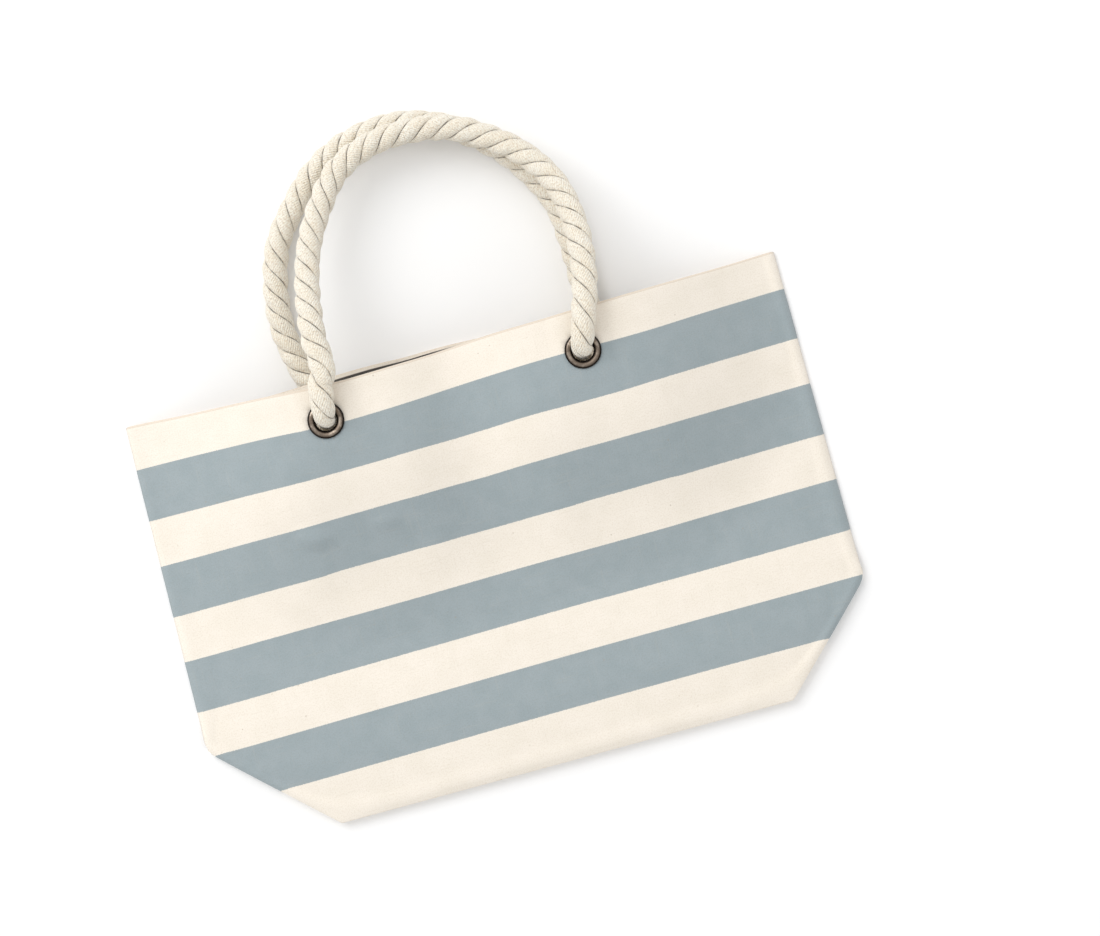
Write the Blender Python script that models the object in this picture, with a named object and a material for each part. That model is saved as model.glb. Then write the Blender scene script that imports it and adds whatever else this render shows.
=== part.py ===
"""Striped canvas beach bag with two rope handles, lying flat on its back.

Metres, +Z up. The bag lies on the plane z = 0 with its front panel upwards, its mouth and
handles towards +Y and its base towards -Y. The origin is the middle of the back panel,
on the face that it rests on. Depths "down" are measured from the top edge towards -Y.
"""

import math

import bmesh
import bpy
from mathutils import Vector

# Driving dimensions.
HEIGHT = 0.350
HALF_TOP = 0.271
HALF_LOW = 0.2745
BASE_HALF_LENGTH = 0.1895
BASE_HALF_DEPTH = 0.085
CLOTH = 0.0012
GAP = 0.0003
TOP_Y = HEIGHT / 2
LOW_CORNER = HEIGHT - BASE_HALF_DEPTH

# Eyelets: the same place on the front and the back panel. As the bag lies, the raised cloth
# round them has slipped a little to the left.
EYELET_X = 0.104
SLIP = -0.004
EYELET_DOWN = 0.037
EYELET_OUTER = 0.0145
EYELET_INNER = 0.0084
BARREL_OUTER = 0.0090
CLOTH_HOLE = 0.0093
FLANGE_RISE = 0.0025
WASHER_OUTER = 0.0140
WASHER_THICK = 0.0008
WASHER_BEVEL = 0.0004
BARREL_PROUD = 0.0004
FLANGE_BEVEL = 0.0006
FLANGE_ROLL = 0.0012
FRONT_EYELET_Z = 0.070
BACK_EYELET_Z = 0.0245

# Rope.
ROPE = 0.0205
ROPE_NECK = 0.0157
AXIS_OFF_CLOTH = 0.0135
BACK_AXIS_Z = 0.0105
KNOT = 0.0400
WHIPPING_LONG = 0.014
WHIPPING_THICK = 0.0009
WHIPPING_BEVEL = 0.001
WHIPPING_PAST_END = 0.0015
KNOT_DROP = 0.004

# How high the front panel stands at its side seams, lower corners and bottom fold.
SIDE_RISE = 0.0039
CORNER_RISE = 0.0066
FOLD_RISE = 0.0090
RIM_RISES_FROM = 0.20
FOLD_RISES_OVER = 0.035
BELLY = 0.016
BELLY_DOWN = 0.19
BELLY_AT_MOUTH = 0.6
# How the cloth eases down around the eyelets: the dip between them, and how far it reaches.
FRONT_EASING = {"dip": 0.38, "outward": 0.145, "below": 0.165}
BACK_EASING = {"dip": 1.5, "outward": 0.0475, "below": 0.047}

# Seams and hems.
HEM_DEEP = 0.058
BINDING_WIDE = 0.008
BINDING_THICK = 0.0009
SEAM_BAR = 0.006
SEAM_MARGIN = 0.001
BINDING_TOP = 0.004
BINDING_OVER_BASE = 0.0005
CORNER_TAPE_THICK = 0.0006
CORNER_TAPE_WIDE = 0.010
CORNER_TAPE_LAP = 0.0035
CORNER_TAPE_IN = 0.002
BASE_BINDING_SHORT = 0.0125

# The grid that every sheet shares, so that neighbouring layers stay parallel.
FLAT_LOW = 0.084
FLAT_HIGH = 0.126
BACK_FLAT_HIGH = 0.142
INNER_COLUMNS = (
    *(0.0, 0.028, 0.056, FLAT_LOW, FLAT_HIGH),
    *(BACK_FLAT_HIGH, 0.166, BASE_HALF_LENGTH),
)
OUTER_SHARES = (0.42, 0.85, 1.0)
BASE_ROWS = (LOW_CORNER, 0.293, 0.322, HEIGHT)
HEM_ROWS = (0.0, 0.016, HEM_DEEP)
ROWS = (*HEM_ROWS, 0.082, 0.105, 0.130, 0.158, 0.186, 0.212, 0.238, *BASE_ROWS)
HEM_SHARE = 0.9
HOLE_SIDES = 20
CUTTER_LONG = 0.2
CUTTER_Z = 0.04

COLOURS = {
    "striped_canvas": ((0.36, 0.41, 0.42), 0.9, 0.0),
    "natural_canvas": ((0.90, 0.84, 0.72), 0.9, 0.0),
    "cotton_tape": ((0.86, 0.80, 0.68), 0.85, 0.0),
    "antique_brass": ((0.10, 0.08, 0.06), 0.35, 1.0),
    "cotton_rope": ((0.82, 0.77, 0.65), 0.95, 0.0),
    "waxed_thread": ((0.78, 0.70, 0.56), 0.6, 0.0),
}


def clear_scene():
    for obj in list(bpy.data.objects):
        bpy.data.objects.remove(obj, do_unlink=True)


def material(name):
    found = bpy.data.materials.get(name)
    if found:
        return found
    colour, roughness, metallic = COLOURS[name]
    made = bpy.data.materials.new(name)
    made.use_nodes = True
    shader = made.node_tree.nodes["Principled BSDF"]
    shader.inputs["Base Color"].default_value = (*colour, 1.0)
    shader.inputs["Roughness"].default_value = roughness
    shader.inputs["Metallic"].default_value = metallic
    return made


def add_object(name, data, finish):
    data.materials.append(material(finish))
    obj = bpy.data.objects.new(name, data)
    bpy.context.scene.collection.objects.link(obj)
    return obj


def add_bmesh(name, bm, finish, smooth=False):
    bmesh.ops.recalc_face_normals(bm, faces=bm.faces)
    data = bpy.data.meshes.new(name)
    bm.to_mesh(data)
    bm.free()
    if smooth:
        data.shade_smooth()
        data.set_sharp_from_angle(angle=math.radians(40))
    return add_object(name, data, finish)


def ease(share):
    share = min(max(share, 0.0), 1.0)
    return share * share * (3 - 2 * share)


def mix(low, high, share):
    return low + (high - low) * share


def half_width(down):
    """Half the flat bag's width at this depth: straight sides, then a 45 degree fold."""
    if down <= LOW_CORNER:
        return mix(HALF_TOP, HALF_LOW, down / LOW_CORNER)
    return mix(HALF_LOW, BASE_HALF_LENGTH, (down - LOW_CORNER) / BASE_HALF_DEPTH)


def outside(value, low, high):
    return max(value - high, low - value, 0.0)


def plateau(x, down, high, dip, outward, below):
    """1 over the flat cloth round an eyelet, easing to 0 at these distances outward and below.

    Between the two eyelets it dips by the share that dip gives.
    """
    side = abs(x)
    if side < FLAT_LOW:
        across = dip * (1 + math.cos(math.pi * side / FLAT_LOW)) / 2
    else:
        across = outside(side, FLAT_LOW, high) / outward
    along = outside(down, 0.0, HEM_DEEP) / below
    return 1 - ease(math.hypot(across, along))


def rim(down):
    """Height of the front panel's outer face along its edges."""
    if down <= LOW_CORNER:
        return mix(SIDE_RISE, CORNER_RISE, ease((down - RIM_RISES_FROM) / (LOW_CORNER - RIM_RISES_FROM)))
    return mix(CORNER_RISE, FOLD_RISE, ease((down - LOW_CORNER) / FOLD_RISES_OVER))


def belly(x, down):
    """How far the front panel crowns between its edges."""
    across = math.sqrt(max(0.0, 1 - (x / half_width(down)) ** 2))
    if down > BELLY_DOWN:
        along = (down - BELLY_DOWN) / (HEIGHT - BELLY_DOWN)
    else:
        along = BELLY_AT_MOUTH * (BELLY_DOWN - down) / BELLY_DOWN
    return BELLY * across * math.sqrt(max(0.0, 1 - along**2))


def front_face(x, down):
    """Outer, upper face of the front panel."""
    raised = plateau(x, down, FLAT_HIGH, **FRONT_EASING)
    plain = rim(down) + belly(x, down)
    return mix(plain, FRONT_EYELET_Z, raised)


def back_face(x, down):
    """Outer, lower face of the back panel, which is flat on the ground but for the handle's ends."""
    return BACK_EYELET_Z * plateau(x, down, BACK_FLAT_HIGH, **BACK_EASING)


def front_hem_face(x, down):
    return front_face(x, down) - CLOTH - GAP


def back_hem_face(x, down):
    return back_face(x, down) + 2 * CLOTH + GAP


def back_panel_face(x, down):
    return back_face(x, down) + CLOTH


def front_base_face(x, down):
    return fold_level(down)


def back_base_face(x, down):
    return fold_level(LOW_CORNER) - CLOTH - GAP


def columns(down, last_share):
    """Where the grid's columns cross the row at this depth, from the left to the right."""
    spare = half_width(down) - BASE_HALF_LENGTH
    right = list(INNER_COLUMNS)
    right += [BASE_HALF_LENGTH + spare * share for share in OUTER_SHARES if share <= last_share]
    return [-x for x in reversed(right[1:])] + right


def layer(name, finish, rows, upper, thickness, last_share=1.0):
    """A closed sheet whose upper face is upper(x, down)."""
    lines = [columns(down, last_share) for down in rows]
    bm = bmesh.new()
    bmesh.ops.create_grid(bm, x_segments=len(lines[0]) - 1, y_segments=len(rows) - 1, size=0.5)
    bm.verts.ensure_lookup_table()
    across = len(lines[0])
    for index, vert in enumerate(bm.verts):
        down = rows[index // across]
        x = lines[index // across][index % across]
        vert.co = (x, TOP_Y - down, upper(x, down))
    bmesh.ops.triangulate(bm, faces=bm.faces, quad_method="FIXED")
    grown = bmesh.ops.extrude_face_region(bm, geom=bm.faces[:])
    moved = [item for item in grown["geom"] if isinstance(item, bmesh.types.BMVert)]
    bmesh.ops.translate(bm, verts=moved, vec=(0, 0, -thickness))
    bmesh.ops.remove_doubles(bm, verts=bm.verts, dist=1e-5)
    return add_bmesh(name, bm, finish)


def cut_eyelet_holes(sheet):
    for side in (-1, 1):
        bm = bmesh.new()
        bmesh.ops.create_cone(
            bm,
            cap_ends=True,
            segments=HOLE_SIDES,
            radius1=CLOTH_HOLE,
            radius2=CLOTH_HOLE,
            depth=CUTTER_LONG,
        )
        middle = (side * EYELET_X + SLIP, TOP_Y - EYELET_DOWN, CUTTER_Z)
        bmesh.ops.translate(bm, verts=bm.verts, vec=middle)
        cutter = add_bmesh(f"{sheet.name}_hole_cutter", bm, "cotton_tape")
        cutter.hide_render = True
        cutter.display_type = "WIRE"
        cut = sheet.modifiers.new("eyelet hole", "BOOLEAN")
        cut.operation = "DIFFERENCE"
        cut.solver = "EXACT"
        cut.object = cutter


def make_panels():
    front = layer("front_panel", "striped_canvas", ROWS, front_face, CLOTH)
    back = layer("back_panel", "striped_canvas", ROWS, back_panel_face, CLOTH)
    cut_eyelet_holes(front)
    cut_eyelet_holes(back)


def make_hems():
    front = layer("front_hem", "natural_canvas", HEM_ROWS, front_hem_face, CLOTH, HEM_SHARE)
    back = layer("back_hem", "natural_canvas", HEM_ROWS, back_hem_face, CLOTH, HEM_SHARE)
    cut_eyelet_holes(front)
    cut_eyelet_holes(back)


def fold_level(down):
    """Upper face of the front half of the base, folded in under the front panel."""
    return rim(down) - CLOTH - GAP


def make_base():
    layer("front_base_half", "natural_canvas", BASE_ROWS, front_base_face, CLOTH)
    layer("back_base_half", "natural_canvas", BASE_ROWS, back_base_face, CLOTH)


def prism(name, outline, finish, along):
    """A closed solid: this outline of points, swept by the vector along."""
    bm = bmesh.new()
    face = bm.faces.new([bm.verts.new(point) for point in outline])
    grown = bmesh.ops.extrude_face_region(bm, geom=[face])
    moved = [item for item in grown["geom"] if isinstance(item, bmesh.types.BMVert)]
    bmesh.ops.translate(bm, verts=moved, vec=along)
    return add_bmesh(name, bm, finish)


def make_side_bindings():
    """Tape over each side seam, turned in along the end of the seam at the lower corner."""
    low = CLOTH + GAP
    foot_high = LOW_CORNER - GAP - SEAM_BAR
    foot_low = LOW_CORNER - GAP
    inner = SEAM_MARGIN + BINDING_WIDE
    bar_end = BASE_HALF_LENGTH + BINDING_OVER_BASE
    shape = [
        (half_width(BINDING_TOP) - SEAM_MARGIN, BINDING_TOP),
        (half_width(foot_low) - SEAM_MARGIN, foot_low),
        (bar_end, foot_low),
        (bar_end, foot_high),
        (half_width(foot_high) - inner, foot_high),
        (half_width(BINDING_TOP) - inner, BINDING_TOP),
    ]
    for name, side in (("left", -1), ("right", 1)):
        outline = [(side * x, TOP_Y - down, low) for x, down in shape]
        prism(f"{name}_side_binding", outline, "cotton_tape", (0, 0, BINDING_THICK))


def make_corner_bindings():
    """Tape over each corner seam, lapped round the edges of both halves of the base."""
    tape = CORNER_TAPE_THICK
    back_under = CLOTH + GAP
    mid_down, leg_down = BASE_ROWS[1:3]
    inner = LOW_CORNER - GAP
    outer = inner - CORNER_TAPE_LAP
    top_in = fold_level(LOW_CORNER) + GAP
    shape = [
        (leg_down, back_under),
        (outer, back_under),
        (outer, top_in + tape),
        (LOW_CORNER, top_in + tape),
        (mid_down, fold_level(mid_down) + GAP + tape),
        (leg_down, fold_level(leg_down) + GAP + tape),
        (leg_down, fold_level(leg_down) + GAP),
        (mid_down, fold_level(mid_down) + GAP),
        (LOW_CORNER, top_in),
        (inner, top_in),
        (inner, back_under + tape),
        (leg_down, back_under + tape),
    ]
    for name, side in (("left", -1), ("right", 1)):
        start = side * (BASE_HALF_LENGTH - CORNER_TAPE_IN)
        outline = [(start, TOP_Y - down, z) for down, z in shape]
        prism(f"{name}_corner_binding", outline, "cotton_tape", (-side * CORNER_TAPE_WIDE, 0, 0))


def make_base_binding():
    """Tape over the seam that joins the two halves of the base."""
    half = BASE_HALF_LENGTH - BASE_BINDING_SHORT
    foot_y = TOP_Y - LOW_CORNER + GAP
    high = fold_level(LOW_CORNER)
    low = high - 2 * CLOTH - GAP
    outline = [
        (-half, foot_y, low),
        (-half, foot_y, high),
        (-half, foot_y + SEAM_BAR, high - CORNER_TAPE_THICK),
        (-half, foot_y + SEAM_BAR, low + CORNER_TAPE_THICK),
    ]
    prism("base_seam_binding", outline, "cotton_tape", (2 * half, 0, 0))


def turned(name, profile, finish, x, z, steps):
    """A ring: a closed profile of (radius, height) points spun round a vertical axis."""
    bm = bmesh.new()
    ring = [bm.verts.new((radius, 0, height)) for radius, height in profile]
    edges = [bm.edges.new((ring[i - 1], ring[i])) for i in range(len(ring))]
    bmesh.ops.spin(
        bm,
        geom=edges,
        cent=(0, 0, 0),
        axis=(0, 0, 1),
        angle=2 * math.pi,
        steps=steps,
        use_merge=True,
    )
    bmesh.ops.remove_doubles(bm, verts=bm.verts, dist=1e-6)
    obj = add_bmesh(name, bm, finish, smooth=True)
    obj.location = (x, TOP_Y - EYELET_DOWN, z)
    return obj


def eyelet_profile(out):
    """The eyelet's section, seen with the outside of the bag at out = 1 (up) or -1 (down)."""
    through = -(2 * CLOTH + 3 * GAP + WASHER_THICK + BARREL_PROUD)
    shape = [
        (EYELET_INNER, through),
        (BARREL_OUTER, through),
        (BARREL_OUTER, GAP),
        (EYELET_OUTER, GAP),
        (EYELET_OUTER - FLANGE_BEVEL, GAP + 0.55 * FLANGE_RISE),
        (0.5 * (EYELET_INNER + EYELET_OUTER) + FLANGE_BEVEL, GAP + FLANGE_RISE),
        (EYELET_INNER + FLANGE_ROLL, GAP + 0.8 * FLANGE_RISE),
        (EYELET_INNER, GAP + 0.3 * FLANGE_RISE),
    ]
    return [(radius, out * height) for radius, height in shape]


def washer_profile(out):
    near = -(2 * CLOTH + 2 * GAP)
    far = near - WASHER_THICK
    shape = [
        (CLOTH_HOLE, near),
        (CLOTH_HOLE, far),
        (WASHER_OUTER - WASHER_BEVEL, far),
        (WASHER_OUTER, near),
    ]
    return [(radius, out * height) for radius, height in shape]


def make_eyelets():
    for face, z, out in (("front", FRONT_EYELET_Z, 1), ("back", BACK_EYELET_Z, -1)):
        for hand, side in (("left", -1), ("right", 1)):
            x = side * EYELET_X + SLIP
            turned(f"{face}_{hand}_eyelet", eyelet_profile(out), "antique_brass", x, z, HOLE_SIDES)
            turned(f"{face}_{hand}_washer", washer_profile(out), "antique_brass", x, z, HOLE_SIDES)


def through_points(route, count):
    """Evenly spaced points on the smooth curve (Catmull-Rom) through the route's points."""
    ends = [2 * route[0] - route[1], *route, 2 * route[-1] - route[-2]]
    fine = []
    for i in range(1, len(ends) - 2):
        a, b, c, d = ends[i - 1 : i + 3]
        for step in range(12):
            t = step / 12
            bend = (2 * a - 5 * b + 4 * c - d) * t**2
            twist = (3 * b - a - 3 * c + d) * t**3
            fine.append(0.5 * (2 * b + (c - a) * t + bend + twist))
    fine.append(route[-1])
    runs = [0.0]
    for here, there in zip(fine, fine[1:]):
        runs.append(runs[-1] + (there - here).length)
    points = []
    i = 0
    for k in range(count):
        want = runs[-1] * k / (count - 1)
        while i < len(runs) - 2 and runs[i + 1] < want:
            i += 1
        share = (want - runs[i]) / (runs[i + 1] - runs[i])
        points.append(fine[i].lerp(fine[i + 1], share))
    return points


def tube(name, points, radii, finish, origin, sides):
    """A closed round tube along the points, which are world positions, with its origin here."""
    curve = bpy.data.curves.new(name, "CURVE")
    curve.dimensions = "3D"
    curve.bevel_depth = ROPE / 2
    curve.bevel_resolution = sides // 4
    curve.use_fill_caps = True
    spline = curve.splines.new("POLY")
    spline.points.add(len(points) - 1)
    for i, (point, radius) in enumerate(zip(points, radii)):
        spline.points[i].co = (*(point - origin), 1)
        spline.points[i].radius = radius / (ROPE / 2)
    obj = add_object(name, curve, finish)
    obj.location = origin
    return obj


# Each handle's route as (x, y beyond the top edge, z), from the left eyelet to the right one.
FRONT_AXIS_Z = FRONT_EYELET_Z + AXIS_OFF_CLOTH
FRONT_ROUTE = [
    (-0.1080, -0.0370, FRONT_AXIS_Z),
    (-0.1010, -0.0100, 0.0834),
    (-0.1000, 0.0300, 0.0762),
    (-0.0953, 0.0693, 0.0605),
    (-0.0875, 0.0976, 0.0490),
    (-0.0715, 0.1279, 0.0395),
    (-0.0490, 0.1545, 0.0338),
    (-0.0185, 0.1676, 0.0318),
    (0.0146, 0.1694, 0.0316),
    (0.0451, 0.1635, 0.0316),
    (0.0746, 0.1467, 0.0324),
    (0.0971, 0.1265, 0.0365),
    (0.1136, 0.0991, 0.0455),
    (0.1200, 0.0657, 0.0585),
    (0.1186, 0.0337, 0.0720),
    (0.1115, 0.0011, 0.0822),
    (0.1000, -0.0370, FRONT_AXIS_Z),
]
BACK_ROUTE = [
    (-0.1080, -0.0370, BACK_AXIS_Z),
    (-0.1150, -0.0120, BACK_AXIS_Z),
    (-0.1225, 0.0150, BACK_AXIS_Z),
    (-0.1270, 0.0450, BACK_AXIS_Z),
    (-0.1240, 0.0780, BACK_AXIS_Z),
    (-0.1118, 0.1140, BACK_AXIS_Z),
    (-0.0930, 0.1380, BACK_AXIS_Z),
    (-0.0715, 0.1590, BACK_AXIS_Z),
    (-0.0455, 0.1735, BACK_AXIS_Z),
    (-0.0195, 0.1800, BACK_AXIS_Z),
    (0.0060, 0.1805, BACK_AXIS_Z),
    (0.0350, 0.1720, BACK_AXIS_Z),
    (0.0600, 0.1570, BACK_AXIS_Z),
    (0.0805, 0.1385, BACK_AXIS_Z),
    (0.0990, 0.1125, BACK_AXIS_Z),
    (0.1120, 0.0830, BACK_AXIS_Z),
    (0.1150, 0.0530, BACK_AXIS_Z),
    (0.1155, 0.0250, BACK_AXIS_Z),
    (0.1135, -0.0050, BACK_AXIS_Z),
    (0.1000, -0.0370, BACK_AXIS_Z),
]
ROPE_POINTS = 34
ROUNDING = (0.97, 0.80, 0.50)


def rope_handle(name, route):
    """A rope whose ends are rounded about the hinge line through its two eyelets."""
    route = [Vector((x, TOP_Y + y, z)) for x, y, z in route]
    radius = ROPE / 2
    points = through_points(route, ROPE_POINTS)
    radii = [radius] * len(points)
    start = (points[0] - points[1]).normalized()
    end = (points[-1] - points[-2]).normalized()
    for share in reversed(ROUNDING):
        points.insert(0, route[0] + start * radius * share)
        points.append(route[-1] + end * radius * share)
        width = radius * math.sqrt(1 - share**2)
        radii.insert(0, width)
        radii.append(width)
    tube(name, points, radii, "cotton_rope", Vector((0, route[0].y, route[0].z)), sides=10)


# The rope inside the bag on the right, as (x, down, z, radius): neck, knot and tail.
NECK = ROPE_NECK / 2
FULL = ROPE / 2
FRONT_KNOT = [
    (EYELET_X, EYELET_DOWN, FRONT_EYELET_Z + 0.0028, NECK),
    (EYELET_X, EYELET_DOWN, FRONT_EYELET_Z - 0.0070, NECK),
    (0.1010, 0.0395, FRONT_EYELET_Z - 0.0130, 0.0088),
    (0.0935, 0.0470, FRONT_EYELET_Z - 0.0190, 0.0096),
    (0.0875, 0.0600, FRONT_EYELET_Z - 0.0255, FULL),
    (0.0840, 0.0745, FRONT_EYELET_Z - 0.0330, FULL),
]
BACK_KNOT = [
    (EYELET_X, EYELET_DOWN, 0.0213, NECK),
    (EYELET_X, EYELET_DOWN, 0.0318, NECK),
    (0.1058, 0.0385, 0.0356, 0.0082),
    (0.1125, 0.0450, 0.0384, 0.0092),
    (0.1210, 0.0570, 0.0388, FULL),
    (0.1280, 0.0740, 0.0345, FULL),
]
FRONT_KNOT_X = 0.082
BACK_KNOT_X = 0.135
KNOT_DOWN = 0.113
KNOT_Z = 0.0232
KNOT_SHARES = (-0.86, -0.55, -0.2, 0.2, 0.55, 0.86)
TAIL = ((0.142, 0.0150), (0.154, 0.0132), (0.172, 0.0132))


def stopper_knot(name, route, knot_x, side):
    """The rope's neck in the eyelet, its knot as a ball, and the short tail."""
    stations = list(route)
    for share in KNOT_SHARES:
        ball = KNOT / 2 * math.sqrt(1 - share**2)
        drop = KNOT_DROP * share
        stations.append((knot_x, KNOT_DOWN + share * KNOT / 2, KNOT_Z - drop, max(ball, FULL)))
    for down, z in TAIL:
        stations.append((knot_x, down, z, FULL))
    points = [Vector((side * x + SLIP, TOP_Y - down, z)) for x, down, z, radius in stations]
    radii = [station[3] for station in stations]
    tube(name, points, radii, "cotton_rope", Vector((0, 0, 0)), sides=10)


def whipping(name, x):
    """Thread wound round the end of the tail, as a sleeve."""
    inner = FULL + GAP
    outer = inner + WHIPPING_THICK
    bm = bmesh.new()
    shape = (
        (inner, 0),
        (outer, WHIPPING_BEVEL),
        (outer, WHIPPING_LONG - WHIPPING_BEVEL),
        (inner, WHIPPING_LONG),
    )
    ring = [bm.verts.new((radius, height, 0)) for radius, height in shape]
    edges = [bm.edges.new((ring[i - 1], ring[i])) for i in range(len(ring))]
    bmesh.ops.spin(
        bm,
        geom=edges,
        cent=(0, 0, 0),
        axis=(0, 1, 0),
        angle=2 * math.pi,
        steps=16,
        use_merge=True,
    )
    bmesh.ops.remove_doubles(bm, verts=bm.verts, dist=1e-6)
    sleeve = add_bmesh(name, bm, "waxed_thread", smooth=True)
    down, z = TAIL[-1]
    sleeve.location = (x, TOP_Y - down + WHIPPING_PAST_END, z)


def make_ropes():
    rope_handle("front_rope", FRONT_ROUTE)
    rope_handle("back_rope", BACK_ROUTE)
    knots = (("front", FRONT_KNOT, FRONT_KNOT_X), ("back", BACK_KNOT, BACK_KNOT_X))
    for face, route, knot_x in knots:
        for hand, side in (("left", -1), ("right", 1)):
            stopper_knot(f"{face}_{hand}_knot", route, knot_x, side)
            whipping(f"{face}_{hand}_whipping", side * knot_x + SLIP)


clear_scene()
make_panels()
make_hems()
make_base()
make_side_bindings()
make_corner_bindings()
make_base_binding()
make_eyelets()
make_ropes()
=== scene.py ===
"""Looks of the striped canvas beach bag: canvas, rope handles, eyelets and stitching."""

import math

import bmesh
import bpy
import numpy as np
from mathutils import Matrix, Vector


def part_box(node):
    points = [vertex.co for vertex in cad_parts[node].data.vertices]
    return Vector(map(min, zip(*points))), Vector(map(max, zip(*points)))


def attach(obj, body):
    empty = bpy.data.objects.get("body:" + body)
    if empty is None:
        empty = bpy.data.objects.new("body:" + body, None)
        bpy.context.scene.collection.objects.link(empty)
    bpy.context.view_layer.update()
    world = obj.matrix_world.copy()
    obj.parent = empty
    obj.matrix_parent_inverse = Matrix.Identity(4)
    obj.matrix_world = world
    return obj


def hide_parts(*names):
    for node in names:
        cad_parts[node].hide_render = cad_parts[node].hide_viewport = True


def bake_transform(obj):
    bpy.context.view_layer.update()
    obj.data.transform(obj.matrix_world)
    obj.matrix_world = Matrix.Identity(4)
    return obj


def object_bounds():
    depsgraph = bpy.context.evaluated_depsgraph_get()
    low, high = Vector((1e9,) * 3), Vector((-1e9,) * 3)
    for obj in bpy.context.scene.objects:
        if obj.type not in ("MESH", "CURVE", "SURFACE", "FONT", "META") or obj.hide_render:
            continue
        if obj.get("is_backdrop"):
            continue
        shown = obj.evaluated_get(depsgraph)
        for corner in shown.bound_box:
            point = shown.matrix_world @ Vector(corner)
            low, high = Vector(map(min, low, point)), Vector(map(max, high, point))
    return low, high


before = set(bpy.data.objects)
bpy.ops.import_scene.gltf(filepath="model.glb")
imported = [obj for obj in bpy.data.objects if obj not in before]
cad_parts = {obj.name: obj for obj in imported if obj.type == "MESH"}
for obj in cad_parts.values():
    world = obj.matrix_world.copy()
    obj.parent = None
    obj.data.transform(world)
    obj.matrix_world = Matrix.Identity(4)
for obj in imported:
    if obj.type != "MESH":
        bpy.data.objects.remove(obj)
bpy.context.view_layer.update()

# Sizes repeated from the part, in metres. The bag lies on its back with its mouth at TOP_Y.
TOP_Y = 0.175
HEIGHT = 0.350
HALF_LOW = 0.2745
HALF_TOP = 0.271
BASE_HALF = 0.1895
LOW_CORNER = 0.265
CLOTH = 0.0012
GAP = 0.0003
# The cloth has slipped sideways as it lies, and its eyelets with it.
SLIP = -0.004
EYELET_X = 0.104
EYELET_XS = (-0.108, 0.100)
EYELET_DOWN = 0.037
EYELET_Y = TOP_Y - EYELET_DOWN
FRONT_EYELET_Z = 0.070
BACK_EYELET_Z = 0.0245
HEM_DEEP = 0.058
ROPE = 0.0205
ROPE_RADIUS = ROPE / 2


# ---------------------------------------------------------------- colours and nodes
def linear(text):
    """A #rrggbb colour as linear red, green, blue and alpha."""
    parts = [int(text[i : i + 2], 16) / 255 for i in (1, 3, 5)]
    lit = [c / 12.92 if c <= 0.04045 else ((c + 0.055) / 1.055) ** 2.4 for c in parts]
    return (*lit, 1.0)


def add(tree, kind, inputs=None, **settings):
    """A node with these settings; each input is a value or the socket that feeds it."""
    made = tree.nodes.new(kind)
    for name, value in settings.items():
        setattr(made, name, value)
    for socket, value in (inputs or {}).items():
        if isinstance(value, bpy.types.NodeSocket):
            tree.links.new(value, made.inputs[socket])
        else:
            made.inputs[socket].default_value = value
    return made


def new_material(name):
    made = bpy.data.materials.new(name)
    made.use_nodes = True
    tree = made.node_tree
    return made, tree, tree.nodes["Principled BSDF"]


def showing(tree, *steps):
    """How much of a layer shows, as the product of smooth steps.

    Each step is (value, low, high, share at low and below, share at high and above).
    """
    share = 1.0
    for value, low, high, start, end in steps:
        ends = {"Value": value, "From Min": low, "From Max": high, "To Min": start, "To Max": end}
        step = add(tree, "ShaderNodeMapRange", ends, interpolation_type="SMOOTHSTEP").outputs["Result"]
        share = add(tree, "ShaderNodeMath", {0: share, 1: step}, operation="MULTIPLY").outputs[0]
    return share


def patches(tree, place, scale, low, high, start=0.0, end=1.0, detail=2.0, rough=0.5, stretch=(1, 1, 1)):
    """A share that steps from start to end over uneven patches, about scale of them to the metre."""
    drawn = add(tree, "ShaderNodeMapping", {"Vector": place, "Scale": stretch}).outputs[0]
    cloud = {"Vector": drawn, "Scale": scale, "Detail": detail, "Roughness": rough}
    uneven = add(tree, "ShaderNodeTexNoise", cloud).outputs["Fac"]
    return showing(tree, (uneven, low, high, start, end))


def laid_over(tree, colour, *layers):
    """The colour with each layer of (how much of it shows, its colour) laid over it in turn."""
    for share, shade in layers:
        mixed = add(tree, "ShaderNodeMix", {0: share, 6: colour, 7: shade}, data_type="RGBA")
        colour = mixed.outputs[2]
    return colour


def relief(tree, shader, height, strength, depth):
    """A fine relief of this depth in metres on the shader's surface."""
    bump = add(tree, "ShaderNodeBump", {"Height": height, "Strength": strength, "Distance": depth})
    tree.links.new(bump.outputs[0], shader.inputs["Normal"])


NATURAL = linear("#f5ede1")
BLUE = linear("#9faaae")
# Each stripe from this depth to that one, down the cloth from the mouth.
STRIPES = ((0.0344, 0.0770), (0.1135, 0.1550), (0.1920, 0.2340), (0.2710, 0.3130))
STRIPE_SOFT = 0.0003
STRIPE_WANDER = 0.0010


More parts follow.
